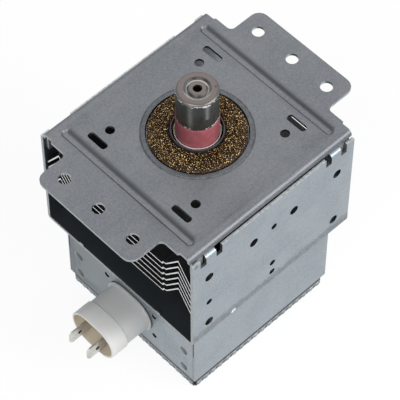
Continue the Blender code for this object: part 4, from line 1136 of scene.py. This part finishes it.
@dataclass
class OutputEnd(SubAssembly):
    """The gasket, collar, seal ring, ceramic and cap on the plate."""

    wire_radius: float = 0.000075
    loop_radius: float = 0.00040
    loops_per_square_metre: float = 5.2e6
    seed: int = 7
    wire_lift: float = 0.00012
    loop_turn: float = math.radians(250)
    loop_tilt: float = 0.75
    loop_scale: tuple[float, float] = (0.65, 1.25)
    gasket_middle: float = 0.0141
    least_rise: float = 0.15
    rim_share: float = 0.6
    cap_rim: float = 0.0008
    groove_inner: float = 0.0031
    groove_outer: float = 0.0050
    speck_reach: float = 0.0064
    speck_turn: float = 0.12
    right: float = math.radians(46.24)
    # Tones of the painted shade, painted reflections and painted highlights on the cap, the seal ring, the
    # collar and the ceramic's sides.
    dark: Colour = (0.02, 0.018, 0.017)
    dark_shade: Colour = (0.03, 0.03, 0.029)
    sheen: Colour = (0.62, 0.63, 0.60)
    gleam: Colour = (0.62, 0.60, 0.58)
    shine: Colour = (1.0, 0.98, 0.95)
    shadow: Colour = (0.02, 0.02, 0.02)
    left_side_shade: Colour = (0.13, 0.045, 0.065)
    right_side_shade: Colour = (0.20, 0.05, 0.075)
    collar_lip: float = 0.0004

    def build(self) -> None:
        """Make the output end."""
        core = WireMesh("gasket_core", (0.12, 0.05, 0.014), (0.008, 0.003, 0.001), 0.6, 0.3).make()
        wire = WireMesh("gasket_wire", (0.92, 0.68, 0.34), (0.035, 0.014, 0.004), 0.13, 1.0).make()
        ring = fine_copy("rf_gasket", "rf_gasket_core")
        self.knit(ring, wire)
        self.ride(ring, "gasket_wire_mesh", [core], "rf_gasket")
        low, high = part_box("antenna_cap")
        cap = DrawnMetal(
            "antenna_cap_steel",
            (0.172, 0.174, 0.162),
            (0.095, 0.096, 0.090),
            0.22,
            top_z=high.z - 0.0001,
            top_tone=(0.138, 0.117, 0.112),
            top_metallic=0.7,
            marks=self.cap_marks(low.z, high.z - self.cap_rim),
        ).make()
        self.smooth_copy("antenna_cap_steel", cap, "antenna_cap", width=0.00018, segments=3)
        # Painted shadow on the collar's top up to its lip, and a lip painted brighter than steel as a
        # highlight.
        shadow = (Ring(0.0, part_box("gasket_collar")[1].x - self.collar_lip, 0.95), self.shadow)
        collar = DrawnMetal(
            "collar_steel", (0.92, 0.87, 0.80), (0.80, 0.74, 0.68), 0.35, 0.20, marks=(shadow,)
        ).make()
        self.smooth_copy("antenna_cap_steel", collar, "gasket_collar", width=0.0001)
        # Painted highlight on the front of the seal ring.
        shine = (Ring(0.0, FAR, 1.0, self.right - math.pi / 2, blur=0.0003), self.shine)
        seal = DrawnMetal(
            "seal_ring_copper", (0.24, 0.17, 0.13), (0.12, 0.08, 0.06), 0.15, 0.6, marks=(shine,)
        ).make()
        self.smooth_copy("copper", seal, "output_seal_ring", width=0.0001)
        # Painted shade on both sides of the ceramic, as the light falls.
        left = Stripe(self.right, -0.0088, 0.0030, 0.75, blur=0.0022)
        right = Stripe(self.right, 0.0088, 0.0022, 0.6, blur=0.0018)
        sides = ((left, self.left_side_shade), (right, self.right_side_shade))
        pink = Ceramic(
            "pink_alumina", (0.395, 0.100, 0.122), (0.455, 0.130, 0.155), 0.42, 0.08, sides
        ).make()
        self.smooth_copy("pink_alumina", pink, "antenna_insulator", width=0.0002)
        copper = DrawnMetal("tube_copper", (0.72, 0.36, 0.20), (0.42, 0.18, 0.09), 0.3).make()
        self.smooth_copy("copper", copper, "exhaust_tube", width=0.0001)
        self.smooth_copy("copper", copper, "antenna_lead")
        self.report()

    def cap_marks(self, low_z: float, rim_z: float) -> Marks:
        """List the cap's painted shade, painted reflections and painted glints, the painted shade and
        highlights in its groove, and its speck.

        Args:
            low_z: The height of its lower edge.
            rim_z: The height where its side ends.

        Returns:
            Each mark with its tone.
        """
        right = self.right
        # Painted reflections and shade on the side: dark flanks, two light streaks, a dark streak low on
        # the right, a painted shadow round the foot, and painted glints at the foot and under the rim.
        flanks = Stripe(right, 0.0078, 0.0013, 0.8, mirrored=True, high_z=rim_z)
        left_sheen = Stripe(right, -0.0026, 0.0006, 0.4, blur=0.0010, high_z=rim_z)
        right_sheen = Stripe(right, 0.0034, 0.0004, 0.6, blur=0.0009, low_z=low_z + 0.0055, high_z=rim_z)
        right_dark_reflection = Stripe(right, 0.0058, 0.0004, 0.85, blur=0.0003, high_z=low_z + 0.0065)
        foot_shadow = Zone(low_z=low_z, high_z=low_z + 0.0034, share=0.45, blur=0.0012)
        foot_glints = Glints(low_z=low_z + 0.0001, high_z=low_z + 0.0007, share=0.95)
        rim_glints = Glints(low_z=rim_z - 0.0009, high_z=rim_z, share=0.85, scale=750.0, level=0.51)
        marks = [
            (flanks, self.dark_shade),
            (left_sheen, self.sheen),
            (right_sheen, self.sheen),
            (right_dark_reflection, self.dark_shade),
            (foot_shadow, self.dark_shade),
            (foot_glints, (1.0, 0.99, 0.96)),
            (rim_glints, (1.0, 1.0, 0.98)),
        ]
        # Painted shade and highlights in the groove on the top: each half of the groove is dark on one side
        # and light on the other.
        front = right - math.pi / 2
        middle = 0.5 * (self.groove_inner + self.groove_outer)
        for inner, outer, far_tone, near_tone in (
            (middle, self.groove_outer, self.dark, self.gleam),
            (self.groove_inner, middle, self.gleam, self.dark),
        ):
            for bearing, tone in ((front + math.pi, far_tone), (front, near_tone)):
                marks.append((Ring(inner, outer, 0.95, bearing, blur=0.0003, low_z=rim_z), tone))
        turn = right + self.speck_turn
        speck = Vector((math.cos(turn), math.sin(turn), 0.0)) * self.speck_reach
        marks.append((Spot(Axis.Z, speck, 0.00045, 0.9), self.dark))
        return tuple(marks)

    def knit(self, ring: Object, wire: Material) -> None:
        """Cover the gasket's ring with short loops of wire.

        Args:
            ring: The ring that carries the loops.
            wire: The wire's finish.
        """
        sizes = {
            "Density": self.loops_per_square_metre,
            "Loop Radius": self.loop_radius,
            "Wire Radius": self.wire_radius,
        }
        kinds = {**dict.fromkeys(sizes, "Float"), "Seed": "Int", "Wire": "Material"}
        graph = GeometryGraph("knitted_wire", kinds)
        entry = graph.inputs
        scatter = graph.node(
            "GeometryNodeDistributePointsOnFaces",
            {"distribute_method": "RANDOM"},
            {"Mesh": entry["Geometry"], "Density": entry["Density"], "Seed": entry["Seed"]},
        )
        arc = graph.node(
            "GeometryNodeCurveArc",
            {"mode": "RADIUS"},
            {"Resolution": 5, "Radius": entry["Loop Radius"], "Sweep Angle": self.loop_turn},
        )
        profile = graph.node(
            "GeometryNodeCurvePrimitiveCircle", None, {"Resolution": 4, "Radius": entry["Wire Radius"]}
        )
        loop = graph.node(
            "GeometryNodeCurveToMesh", None, {"Curve": arc, "Profile Curve": profile, "Fill Caps": True}
        )
        tilt = Vector((self.loop_tilt, self.loop_tilt, math.pi))
        values = {0: -tilt, 1: tilt, "Seed": entry["Seed"]}
        angles = graph.node("FunctionNodeRandomValue", {"data_type": "FLOAT_VECTOR"}, values)
        values = {
            0: scatter.outputs["Rotation"],
            1: graph.node("FunctionNodeEulerToRotation", None, {0: angles}),
        }
        spin = graph.node("FunctionNodeRotateRotation", {"rotation_space": "LOCAL"}, values)
        values = {2: self.loop_scale[0], 3: self.loop_scale[1], "Seed": entry["Seed"]}
        size = graph.node("FunctionNodeRandomValue", {"data_type": "FLOAT"}, values)
        placed = graph.node(
            "GeometryNodeInstanceOnPoints",
            None,
            {"Points": scatter, "Instance": loop, "Rotation": spin, "Scale": size.outputs[1]},
        )
        graph.close(placed, {"Wire": True})
        carrier = ring.copy()
        carrier.data = self.upper_faces(ring.data)
        carrier.name = "gasket_wire_mesh"
        bpy.context.scene.collection.objects.link(carrier)
        self.ride(graph.grow(carrier, {**sizes, "Seed": self.seed, "Wire": wire}), "gasket_wire_mesh", [])

    def upper_faces(self, mesh: Mesh) -> Mesh:
        """Return the faces of the ring that look up, drawn in from both rims and lifted.

        Args:
            mesh: The ring's mesh.

        Returns:
            The new mesh.
        """
        bm = bmesh.new()
        bm.from_mesh(mesh)
        hidden = [f for f in bm.faces if f.normal.z < self.least_rise]
        bmesh.ops.delete(bm, geom=hidden, context="FACES")
        for vert in bm.verts:
            flat = Vector((vert.co.x, vert.co.y, 0.0))
            side = 1 if flat.length > self.gasket_middle else -1
            vert.co -= flat.normalized() * (self.rim_share * self.loop_radius * side)
            vert.co.z += self.wire_lift
        return from_bmesh(bm, "gasket_wire_mesh")


@dataclass
class FinStack(SubAssembly):
    """Six cooling fins pressed on the anode."""

    count: int = 6
    sheet: float = 0.0005
    fold_round: float = 0.0005
    fold_angles: tuple[float, float] = (8.0, 85.0)
    sharp_angle: float = 35.0
    lit_y: float = 0.040
    lit_length: float = 0.026
    lit_depth: float = 0.009
    lit_tone: Colour = (0.36, 0.39, 0.42)
    flag: str = "cut_edge"

    def build(self) -> None:
        """Make one fin with rounded folds and stack copies of it."""
        names = [f"cooling_fin_{k + 1}" for k in range(self.count)]
        low_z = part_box(names[-1])[1].z - self.lit_depth
        daylight = Stripe(math.pi / 2, self.lit_y, self.lit_length, 0.9, blur=0.002, low_z=low_z)
        # Painted shade: the fin faces are aluminium painted near black as if in shadow between the fins;
        # the edges keep aluminium's own bright tone.
        shaded = DrawnMetal(
            "fin_faces",
            (0.060, 0.062, 0.066),
            (0.035, 0.037, 0.040),
            0.40,
            0.8,
            Axis.Y,
            marks=((daylight, self.lit_tone),),
        ).make()
        bright = DrawnMetal("fin_edges", (0.86, 0.87, 0.88), (0.70, 0.71, 0.72), 0.30, 0.6).make()
        fin = fine_copy(names[0], "cooling_fins")
        self.round_folds(fin)
        for metal in (shaded, bright):
            fin.data.materials.append(metal)
        mark_cut_edges(fin, self.sheet)
        flags = fin.data.attributes.new(self.flag, "BOOLEAN", "FACE")
        flags.data.foreach_set("value", [face.material_index == 1 for face in fin.data.polygons])
        graph = GeometryGraph(
            "fin_stack", {"Count": "Int", "Pitch": "Float", "Dull": "Material", "Bright": "Material"}
        )
        entry = graph.inputs
        step = graph.node("ShaderNodeCombineXYZ", None, {2: entry["Pitch"]})
        values = {"Count": entry["Count"], "Offset": step}
        line = graph.node("GeometryNodeMeshLine", {"mode": "OFFSET"}, values)
        values = {"Points": line, "Instance": entry["Geometry"]}
        placed = graph.node("GeometryNodeInstanceOnPoints", None, values)
        settings = {"data_type": "BOOLEAN"}
        is_cut = graph.node("GeometryNodeInputNamedAttribute", settings, {"Name": self.flag})
        graph.close(placed, {"Dull": True, "Bright": is_cut})
        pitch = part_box(names[1])[0].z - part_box(names[0])[0].z
        fin = graph.grow(fin, {"Count": self.count, "Pitch": pitch, "Dull": shaded, "Bright": bright})
        self.ride(fin, "fin_aluminium", [], *names)
        self.report()

    def round_folds(self, fin: Object) -> None:
        """Round the fin's long folds, which run along Y.

        Args:
            fin: The fin.
        """
        bm = bmesh.new()
        bm.from_mesh(fin.data)
        least, most = (math.radians(angle) for angle in self.fold_angles)
        folds = []
        for edge in bm.edges:
            run = edge.verts[1].co - edge.verts[0].co
            along = abs(run.y) > 0.9 * run.length and len(edge.link_faces) == 2
            if along and least < edge.calc_face_angle(0.0) < most:
                folds.append(edge)
        bmesh.ops.bevel(bm, geom=folds, offset=self.fold_round, segments=3, profile=0.5, affect="EDGES")
        bm.to_mesh(fin.data)
        bm.free()
        fin.data.shade_smooth()
        fin.data.set_sharp_from_angle(angle=math.radians(self.sharp_angle))


@dataclass
class MagneticCore(SubAssembly):
    """The magnets, pole pieces and anode between the fins."""

    vane_count: int = 10

    def build(self) -> None:
        """Dress the core."""
        ferrite = MouldedPlastic("ferrite", (0.014, 0.014, 0.015), (0.022, 0.021, 0.021), 0.6, 900.0).make()
        iron = DrawnMetal("pole_iron", (0.42, 0.41, 0.40), (0.25, 0.24, 0.23), 0.35).make()
        copper = DrawnMetal("anode_copper", (0.70, 0.34, 0.19), (0.40, 0.17, 0.09), 0.32).make()
        self.smooth_copy("ferrite", ferrite, "upper_magnet", "lower_magnet", width=0.0003)
        self.smooth_copy("antenna_cap_steel", iron, "upper_pole_piece", "lower_pole_piece")
        self.smooth_copy("copper", copper, "anode_cylinder")
        for k in range(self.vane_count):
            self.keep(f"anode_vane_{k + 1}", copper)
        straps = [f"{end}_{size}_strap" for end in ("upper", "lower") for size in ("inner", "outer")]
        self.smooth_copy("copper", copper, *straps)
        self.report()


@dataclass
class Cathode(SubAssembly):
    """The filament with its hats and leads, and the stem below."""

    def build(self) -> None:
        """Dress the cathode and its stem."""
        tungsten = DrawnMetal("tungsten", (0.22, 0.22, 0.24), (0.12, 0.12, 0.13), 0.4).make()
        copper = DrawnMetal("stem_copper", (0.68, 0.36, 0.22), (0.40, 0.18, 0.10), 0.35).make()
        white = Ceramic("white_alumina", (0.72, 0.70, 0.66), (0.80, 0.78, 0.75), 0.45, 0.1).make()
        tin = DrawnMetal("stem_tin", (0.60, 0.60, 0.58), (0.42, 0.42, 0.41), 0.3).make()
        hot_pieces = ("cathode_filament", "upper_end_hat", "lower_end_hat", "centre_lead", "side_lead")
        self.smooth_copy("tungsten", tungsten, *hot_pieces)
        self.smooth_copy("copper", copper, "input_seal_ring")
        self.smooth_copy("white_alumina", white, "stem_insulator")
        self.smooth_copy("tinned_terminal", tin, "stem_terminal_1", "stem_terminal_2")
        self.report()


@dataclass
class FilterUnit(SubAssembly):
    """The filter box with its cover, rivets, chokes and capacitor."""

    sheet: float = 0.0005
    edge_round: float = 0.00012
    rivets: int = 4
    chokes: int = 2
    # Tones and places of the painted shade inside the box, across its front, at its dents and on the cover,
    # and of the painted highlights on the dents.
    dark_tone: Colour = (0.030, 0.034, 0.038)
    shade_bearing: float = -0.5 * math.pi - 0.35
    shade_centre: float = 0.052
    shade_half_width: float = 0.017
    front_shade_tone: Colour = (0.150, 0.175, 0.192)
    dent_x: float = 0.0288
    dent_heights: tuple[float, float] = (0.0217, 0.0105)
    dent_radius: float = 0.0020
    gap_tone: Colour = (0.010, 0.013, 0.016)
    shine_tone: Colour = (0.62, 0.66, 0.69)
    dent_shade_tone: Colour = (0.03, 0.04, 0.042)
    shadow_height: float = 0.0031
    bump_pitch: float = 0.0036
    bump_radius: float = 0.0012
    bump_rise: float = 0.00036
    bump_height: float = 0.0014
    valley_half_width: float = 0.0007
    corner_clearance: float = 0.0022
    corner_mark: float = 0.0023
    bend: float = 0.0008
    seam: float = 0.00015
    seam_inset: float = 0.00005
    seam_top: float = 0.0228

    def build(self) -> None:
        """Make the box and what it holds."""
        steel = self.box_steel()
        cut = ShearedEdge("box_sheared_steel", (0.38, 0.40, 0.41)).make()
        # Painted shade: the walls of the box's holes are near black.
        wall = ShearedEdge("box_hole_walls", (0.05, 0.055, 0.06)).make()
        holes = Zone(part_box("filter_box")[1].x - self.corner_clearance)
        cover_steel = self.cover_steel()
        self.sheet_copy("filter_box", [steel, cut, wall], self.sheet, holes, self.edge_round)
        self.smooth_copy("zinc_plated_steel", cover_steel, "filter_box_cover", width=self.edge_round)
        self.close_seams(steel)
        self.contact_bumps(cover_steel)
        # Light tinned steel, brightened further as painted light where the rivets sit in shade.
        tin = DrawnMetal("rivet_steel", (0.90, 0.91, 0.91), (0.70, 0.71, 0.71), 0.40, 0.4).make()
        rivets = [f"box_rivet_{k + 1}" for k in range(self.rivets)]
        self.smooth_copy("tinned_terminal", tin, *rivets, width=0.00015)
        wire = DrawnMetal("choke_wire", (0.66, 0.30, 0.14), (0.44, 0.17, 0.07), 0.25).make()
        ferrite = MouldedPlastic(
            "choke_ferrite", (0.030, 0.030, 0.032), (0.05, 0.05, 0.05), 0.5, 900.0
        ).make()
        for k in range(self.chokes):
            self.smooth_copy("copper", wire, f"choke_coil_{k + 1}")
            self.smooth_copy("ferrite", ferrite, f"choke_core_{k + 1}", width=0.0002)
        self.report()

    def box_steel(self) -> Material:
        """Make the box's plating, with painted shade inside and towards the left of its front, and a
        painted highlight and painted shade at each of four dents in its front.

        Returns:
            The finished material.
        """
        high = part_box("filter_box")[1]
        inset = 0.9 * self.sheet
        # Painted shade: the box's front grows darker towards the left, as the light falls.
        shaded = Stripe(self.shade_bearing, self.shade_centre, self.shade_half_width, 0.95, blur=0.015)
        # The box's inner faces get painted shade.
        marks = [(shaded, self.front_shade_tone), (Zone(high.x - inset, high.y - inset), self.dark_tone)]
        shine, hollow = 1.5 * self.dent_radius, 1.15 * self.dent_radius
        for x in (-self.dent_x, self.dent_x):
            for z in self.dent_heights:
                dent = Vector((x, 0.0, z))
                # Painted highlight on the near side of each dent and painted shade on its far side.
                near = Spot(Axis.Y, dent, shine, 0.35, core=0.75, lean=-1.0)
                far = Spot(Axis.Y, dent, hollow, 0.97, core=0.75, lean=1.0, start=-2.6)
                marks += [(near, self.shine_tone), (far, self.dent_shade_tone)]
        return ZincSheet("box_zinc", ZINC, ZINC_CLOUD, Axis.X, marks=tuple(marks)).make()

    def cover_steel(self) -> Material:
        """Make the cover's plating, with painted shade between its bumps, under the box's edge and at its
        front corner.

        Returns:
            The finished material.
        """
        low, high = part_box("filter_box")
        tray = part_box("filter_box_cover")[1]
        row = 2 * (tray.x - self.corner_clearance)
        pitch = row / int(row / self.bump_pitch)
        half_x, half_y = tray.x - self.sheet, tray.y - self.sheet
        valleys = Valleys(half_x, half_y, pitch, self.valley_half_width, 2.0 * self.bump_height, 0.8)
        # Painted shadow: a dark line under the box's edge, and a dark spot at the corner where the box
        # overhangs the cover.
        gap = Zone(0.0, 0.0, low.z - self.shadow_height, outside=True, blur=0.00015)
        corner = Spot(Axis.Z, Vector((high.x, low.y, 0.0)), self.corner_mark, 0.97)
        marks = ((valleys, self.dark_tone), (gap, self.gap_tone), (corner, self.gap_tone))
        return ZincSheet("cover_zinc", (0.25, 0.275, 0.295), (0.36, 0.39, 0.41), Axis.X, marks=marks).make()

    def close_seams(self, steel: Material) -> None:
        """Fill the lower part of the seam at each upright corner of the box with a thin bead.

        Args:
            steel: The box's finish.
        """
        low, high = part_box("filter_box")
        bm = bmesh.new()
        height = self.seam_top - low.z
        near = high.x - self.bend - self.seam
        width = high.x - self.sheet - near
        size = Matrix.Diagonal((width, self.sheet, height, 1.0))
        for side_x in (-1, 1):
            for side_y in (-1, 1):
                x = side_x * (near + width / 2)
                y = side_y * (high.y - self.seam_inset - self.sheet / 2)
                middle = Matrix.Translation((x, y, low.z + height / 2))
                bmesh.ops.create_cube(bm, size=1.0, matrix=middle @ size)
        piece = link_piece("box_seam_beads", from_bmesh(bm, "box_seam_beads"))
        self.ride(soften(piece, self.edge_round), "zinc_plated_steel", [steel])

    def contact_bumps(self, steel: Material) -> None:
        """Press a row of small round bumps along the four sides of the cover.

        Args:
            steel: The cover's finish.
        """
        sizes = {"Pitch": self.bump_pitch, "Radius": self.bump_radius, "Rise": self.bump_rise}
        graph = GeometryGraph("contact_bumps", {**dict.fromkeys(sizes, "Float"), "Steel": "Material"})
        entry = graph.inputs
        path = graph.node("GeometryNodeMeshToCurve", None, {0: entry["Geometry"]})
        values = {"Curve": path, "Length": entry["Pitch"]}
        spaced = graph.node("GeometryNodeResampleCurve", {"mode": "LENGTH"}, values)
        points = graph.node("GeometryNodeCurveToPoints", {"mode": "EVALUATED"}, {"Curve": spaced})
        ball = graph.node("GeometryNodeMeshUVSphere", None, {"Segments": 14, "Rings": 8, "Radius": 1.0})
        values = {0: entry["Radius"], 1: entry["Rise"], 2: entry["Radius"]}
        squash = graph.node("ShaderNodeCombineXYZ", None, values)
        settings = {"primary_axis": "X", "secondary_axis": "Z"}
        values = {0: points.outputs["Tangent"], 1: (0.0, 0.0, 1.0)}
        turn = graph.node("FunctionNodeAxesToRotation", settings, values)
        values = {"Points": points, "Instance": ball, "Rotation": turn, "Scale": squash}
        placed = graph.node("GeometryNodeInstanceOnPoints", None, values)
        graph.close(placed, {"Steel": True})
        low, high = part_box("filter_box_cover")
        bm = bmesh.new()
        inset = self.corner_clearance
        level = low.z + self.bump_height
        for x in (high.x, low.x):
            ends = [bm.verts.new((x, y, level)) for y in (low.y + inset, high.y - inset)]
            bm.edges.new(ends)
        for y in (low.y, high.y):
            ends = [bm.verts.new((x, y, level)) for x in (low.x + inset, high.x - inset)]
            bm.edges.new(ends)
        piece = link_piece("cover_contact_bumps", from_bmesh(bm, "cover_contact_bumps"))
        piece = graph.grow(piece, {**sizes, "Steel": steel})
        piece.data.shade_smooth()
        self.ride(piece, "zinc_plated_steel", [])


@dataclass
class Connector(SubAssembly):
    """The oval connector with its resin, tabs, capacitor and flange."""

    tabs: int = 2
    mouth_wall: float = 0.0013
    body_length: float = 0.0117
    base_sheet: float = 0.0006
    hole_radius: float = 0.0008
    hole_inset: float = 0.0048
    body_tone: Colour = (0.66, 0.67, 0.65)
    base_tone: Colour = (0.42, 0.43, 0.41)
    bore_tone: Colour = (0.83, 0.74, 0.60)
    hole_tone: Colour = (0.03, 0.03, 0.028)

    def build(self) -> None:
        """Dress the connector."""
        low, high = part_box("connector_shell")
        radius = (high.z - low.z) / 2
        bore = OvalBore((high.x - low.x) / 2 - radius, radius - self.mouth_wall, (high.z + low.z) / 2)
        body = Stripe(math.pi / 2, high.y, self.body_length, 0.85, blur=0.0002)
        base = Stripe(math.pi / 2, high.y, self.base_sheet, 0.5, blur=0.0001)
        shell = MouldedPlastic(
            "connector_plastic",
            (0.92, 0.91, 0.885),
            (0.86, 0.85, 0.82),
            0.42,
            marks=((body, self.body_tone), (base, self.base_tone), (bore, self.bore_tone)),
        ).make()
        resin = MouldedPlastic("potting_resin", (0.42, 0.36, 0.28), (0.34, 0.29, 0.22), 0.55, 1200.0).make()
        tabs = [f"terminal_tab_{k + 1}" for k in range(self.tabs)]
        # Painted shade: a dark spot over each tab's hole, with a thin dark ring round it.
        holes = []
        for tab in tabs:
            start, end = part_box(tab)
            place = Vector((0.0, start.y + self.hole_inset, (start.z + end.z) / 2))
            holes.append((Spot(Axis.X, place, 1.25 * self.hole_radius, 1.0), self.hole_tone))
        tin = DrawnMetal(
            "tab_tin", (0.66, 0.65, 0.62), (0.48, 0.47, 0.45), 0.26, grain=Axis.Y, marks=tuple(holes)
        ).make()
        white = Ceramic("capacitor_ceramic", (0.62, 0.60, 0.55), (0.70, 0.68, 0.64), 0.5, 0.1).make()
        self.smooth_copy("connector_plastic", shell, "connector_shell", width=0.00025, segments=3)
        self.smooth_copy("potting_resin", resin, "connector_potting")
        self.smooth_copy("tinned_terminal", tin, *tabs, width=0.00012)
        self.smooth_copy("white_alumina", white, "capacitor_body", width=0.0002)
        self.smooth_copy("tinned_terminal", tin, "capacitor_flange", width=0.00008)
        self.report()


@dataclass
class Studio:
    """A pale floor, soft lamps and the camera."""

    camera_place: Vector = field(default_factory=lambda: Vector((0.3483, -0.3323, 0.7550)))
    azimuth: float = math.radians(46.24)
    elevation: float = math.radians(55.48)
    focal_pixels: float = 2296.0
    picture_pixels: float = 400.0
    sensor: float = 36.0
    floor_size: float = 4.0
    floor_drop: float = 0.0002
    floor_glow: float = 0.86
    white: Colour = (1.0, 1.0, 1.0)
    middle_z: float = 0.06

    def build(self) -> None:
        """Make the studio."""
        self.camera()
        self.floor()
        self.world()
        self.lamp("right_softbox", Vector((0.75, 0.30, 0.55)), 0.7, 6.6)
        self.lamp("overhead_softbox", Vector((-0.38, 0.36, 0.80)), 0.8, 1.6)
        self.lamp("camera_softbox", Vector((0.25, -0.60, 0.75)), 0.6, 3.4)
        bpy.context.scene.view_settings.view_transform = "Standard"
        LOG.info("Studio: camera, floor, world, lamps")

    def camera(self) -> None:
        """Place the camera as the photograph's stood."""
        a, e = self.azimuth, self.elevation
        back = Vector((math.sin(a) * math.cos(e), -math.cos(a) * math.cos(e), math.sin(e)))
        right = Vector((math.cos(a), math.sin(a), 0.0))
        turn = Matrix((right, back.cross(right), back)).transposed()
        data = bpy.data.cameras.new("camera")
        data.sensor_width = self.sensor
        data.lens = self.focal_pixels * self.sensor / self.picture_pixels
        data.clip_start = 0.01
        item = bpy.data.objects.new("camera", data)
        item.matrix_world = Matrix.Translation(self.camera_place) @ turn.to_4x4()
        bpy.context.scene.collection.objects.link(item)
        bpy.context.scene.camera = item

    def floor(self) -> None:
        """Lay a pale floor that shows near white to the camera and keeps a faint shadow."""
        half = self.floor_size / 2
        mesh = bpy.data.meshes.new("floor")
        corners = [(-half, -half, 0.0), (half, -half, 0.0), (half, half, 0.0), (-half, half, 0.0)]
        mesh.from_pydata(corners, [], [(0, 1, 2, 3)])
        item = bpy.data.objects.new("floor", mesh)
        bpy.context.scene.collection.objects.link(item)
        item.location.z = -self.floor_drop
        recipe = Recipe("floor_paper")
        recipe.finish((0.86, 0.86, 0.86), 0.9, 0.0, recipe.noise(900.0), 0.00005, 0.1)
        glow = recipe.node("ShaderNodeEmission", None, {"Color": self.white, "Strength": 1.05})
        share = recipe.background_rays() * self.floor_glow
        mix = recipe.node("ShaderNodeMixShader", None, {0: share, 1: recipe.shader, 2: glow})
        recipe.feed(recipe.tree.nodes["Material Output"].inputs["Surface"], mix)
        mesh.materials.append(recipe.material)

    def world(self) -> None:
        """Light the room evenly and show white to the camera."""
        world = bpy.data.worlds.new("room")
        bpy.context.scene.world = world
        world.use_nodes = True
        graph = Graph(world.node_tree)
        ambient = graph.node("ShaderNodeBackground", None, {"Color": (0.92, 0.96, 1.0), "Strength": 0.16})
        white = graph.node("ShaderNodeBackground", None, {"Color": self.white, "Strength": 1.0})
        mix = graph.node("ShaderNodeMixShader", None, {0: graph.background_rays(), 1: ambient, 2: white})
        graph.feed(graph.tree.nodes["World Output"].inputs["Surface"], mix)

    def lamp(self, name: str, place: Vector, size: float, power: float) -> None:
        """Hang one square soft lamp that faces the object's middle.

        Args:
            name: Its name.
            place: Where it hangs.
            size: Its side in metres.
            power: Its power in watts.
        """
        data = bpy.data.lights.new(name, "AREA")
        data.shape = "SQUARE"
        data.size = size
        data.energy = power
        item = bpy.data.objects.new(name, data)
        item.location = place
        aim = Vector((0.0, 0.0, self.middle_z)) - place
        item.rotation_euler = aim.to_track_quat("-Z", "Y").to_euler()
        bpy.context.scene.collection.objects.link(item)


def main() -> None:
    logging.basicConfig(level=logging.INFO, format="%(name)s: %(message)s")
    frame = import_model()
    nodes = frame["nodes"]
    Studio().build()
    for group in (YokeSheets, OutputEnd, FinStack, MagneticCore, Cathode, FilterUnit, Connector):
        group(nodes).build()


if __name__ == "__main__":
    main()
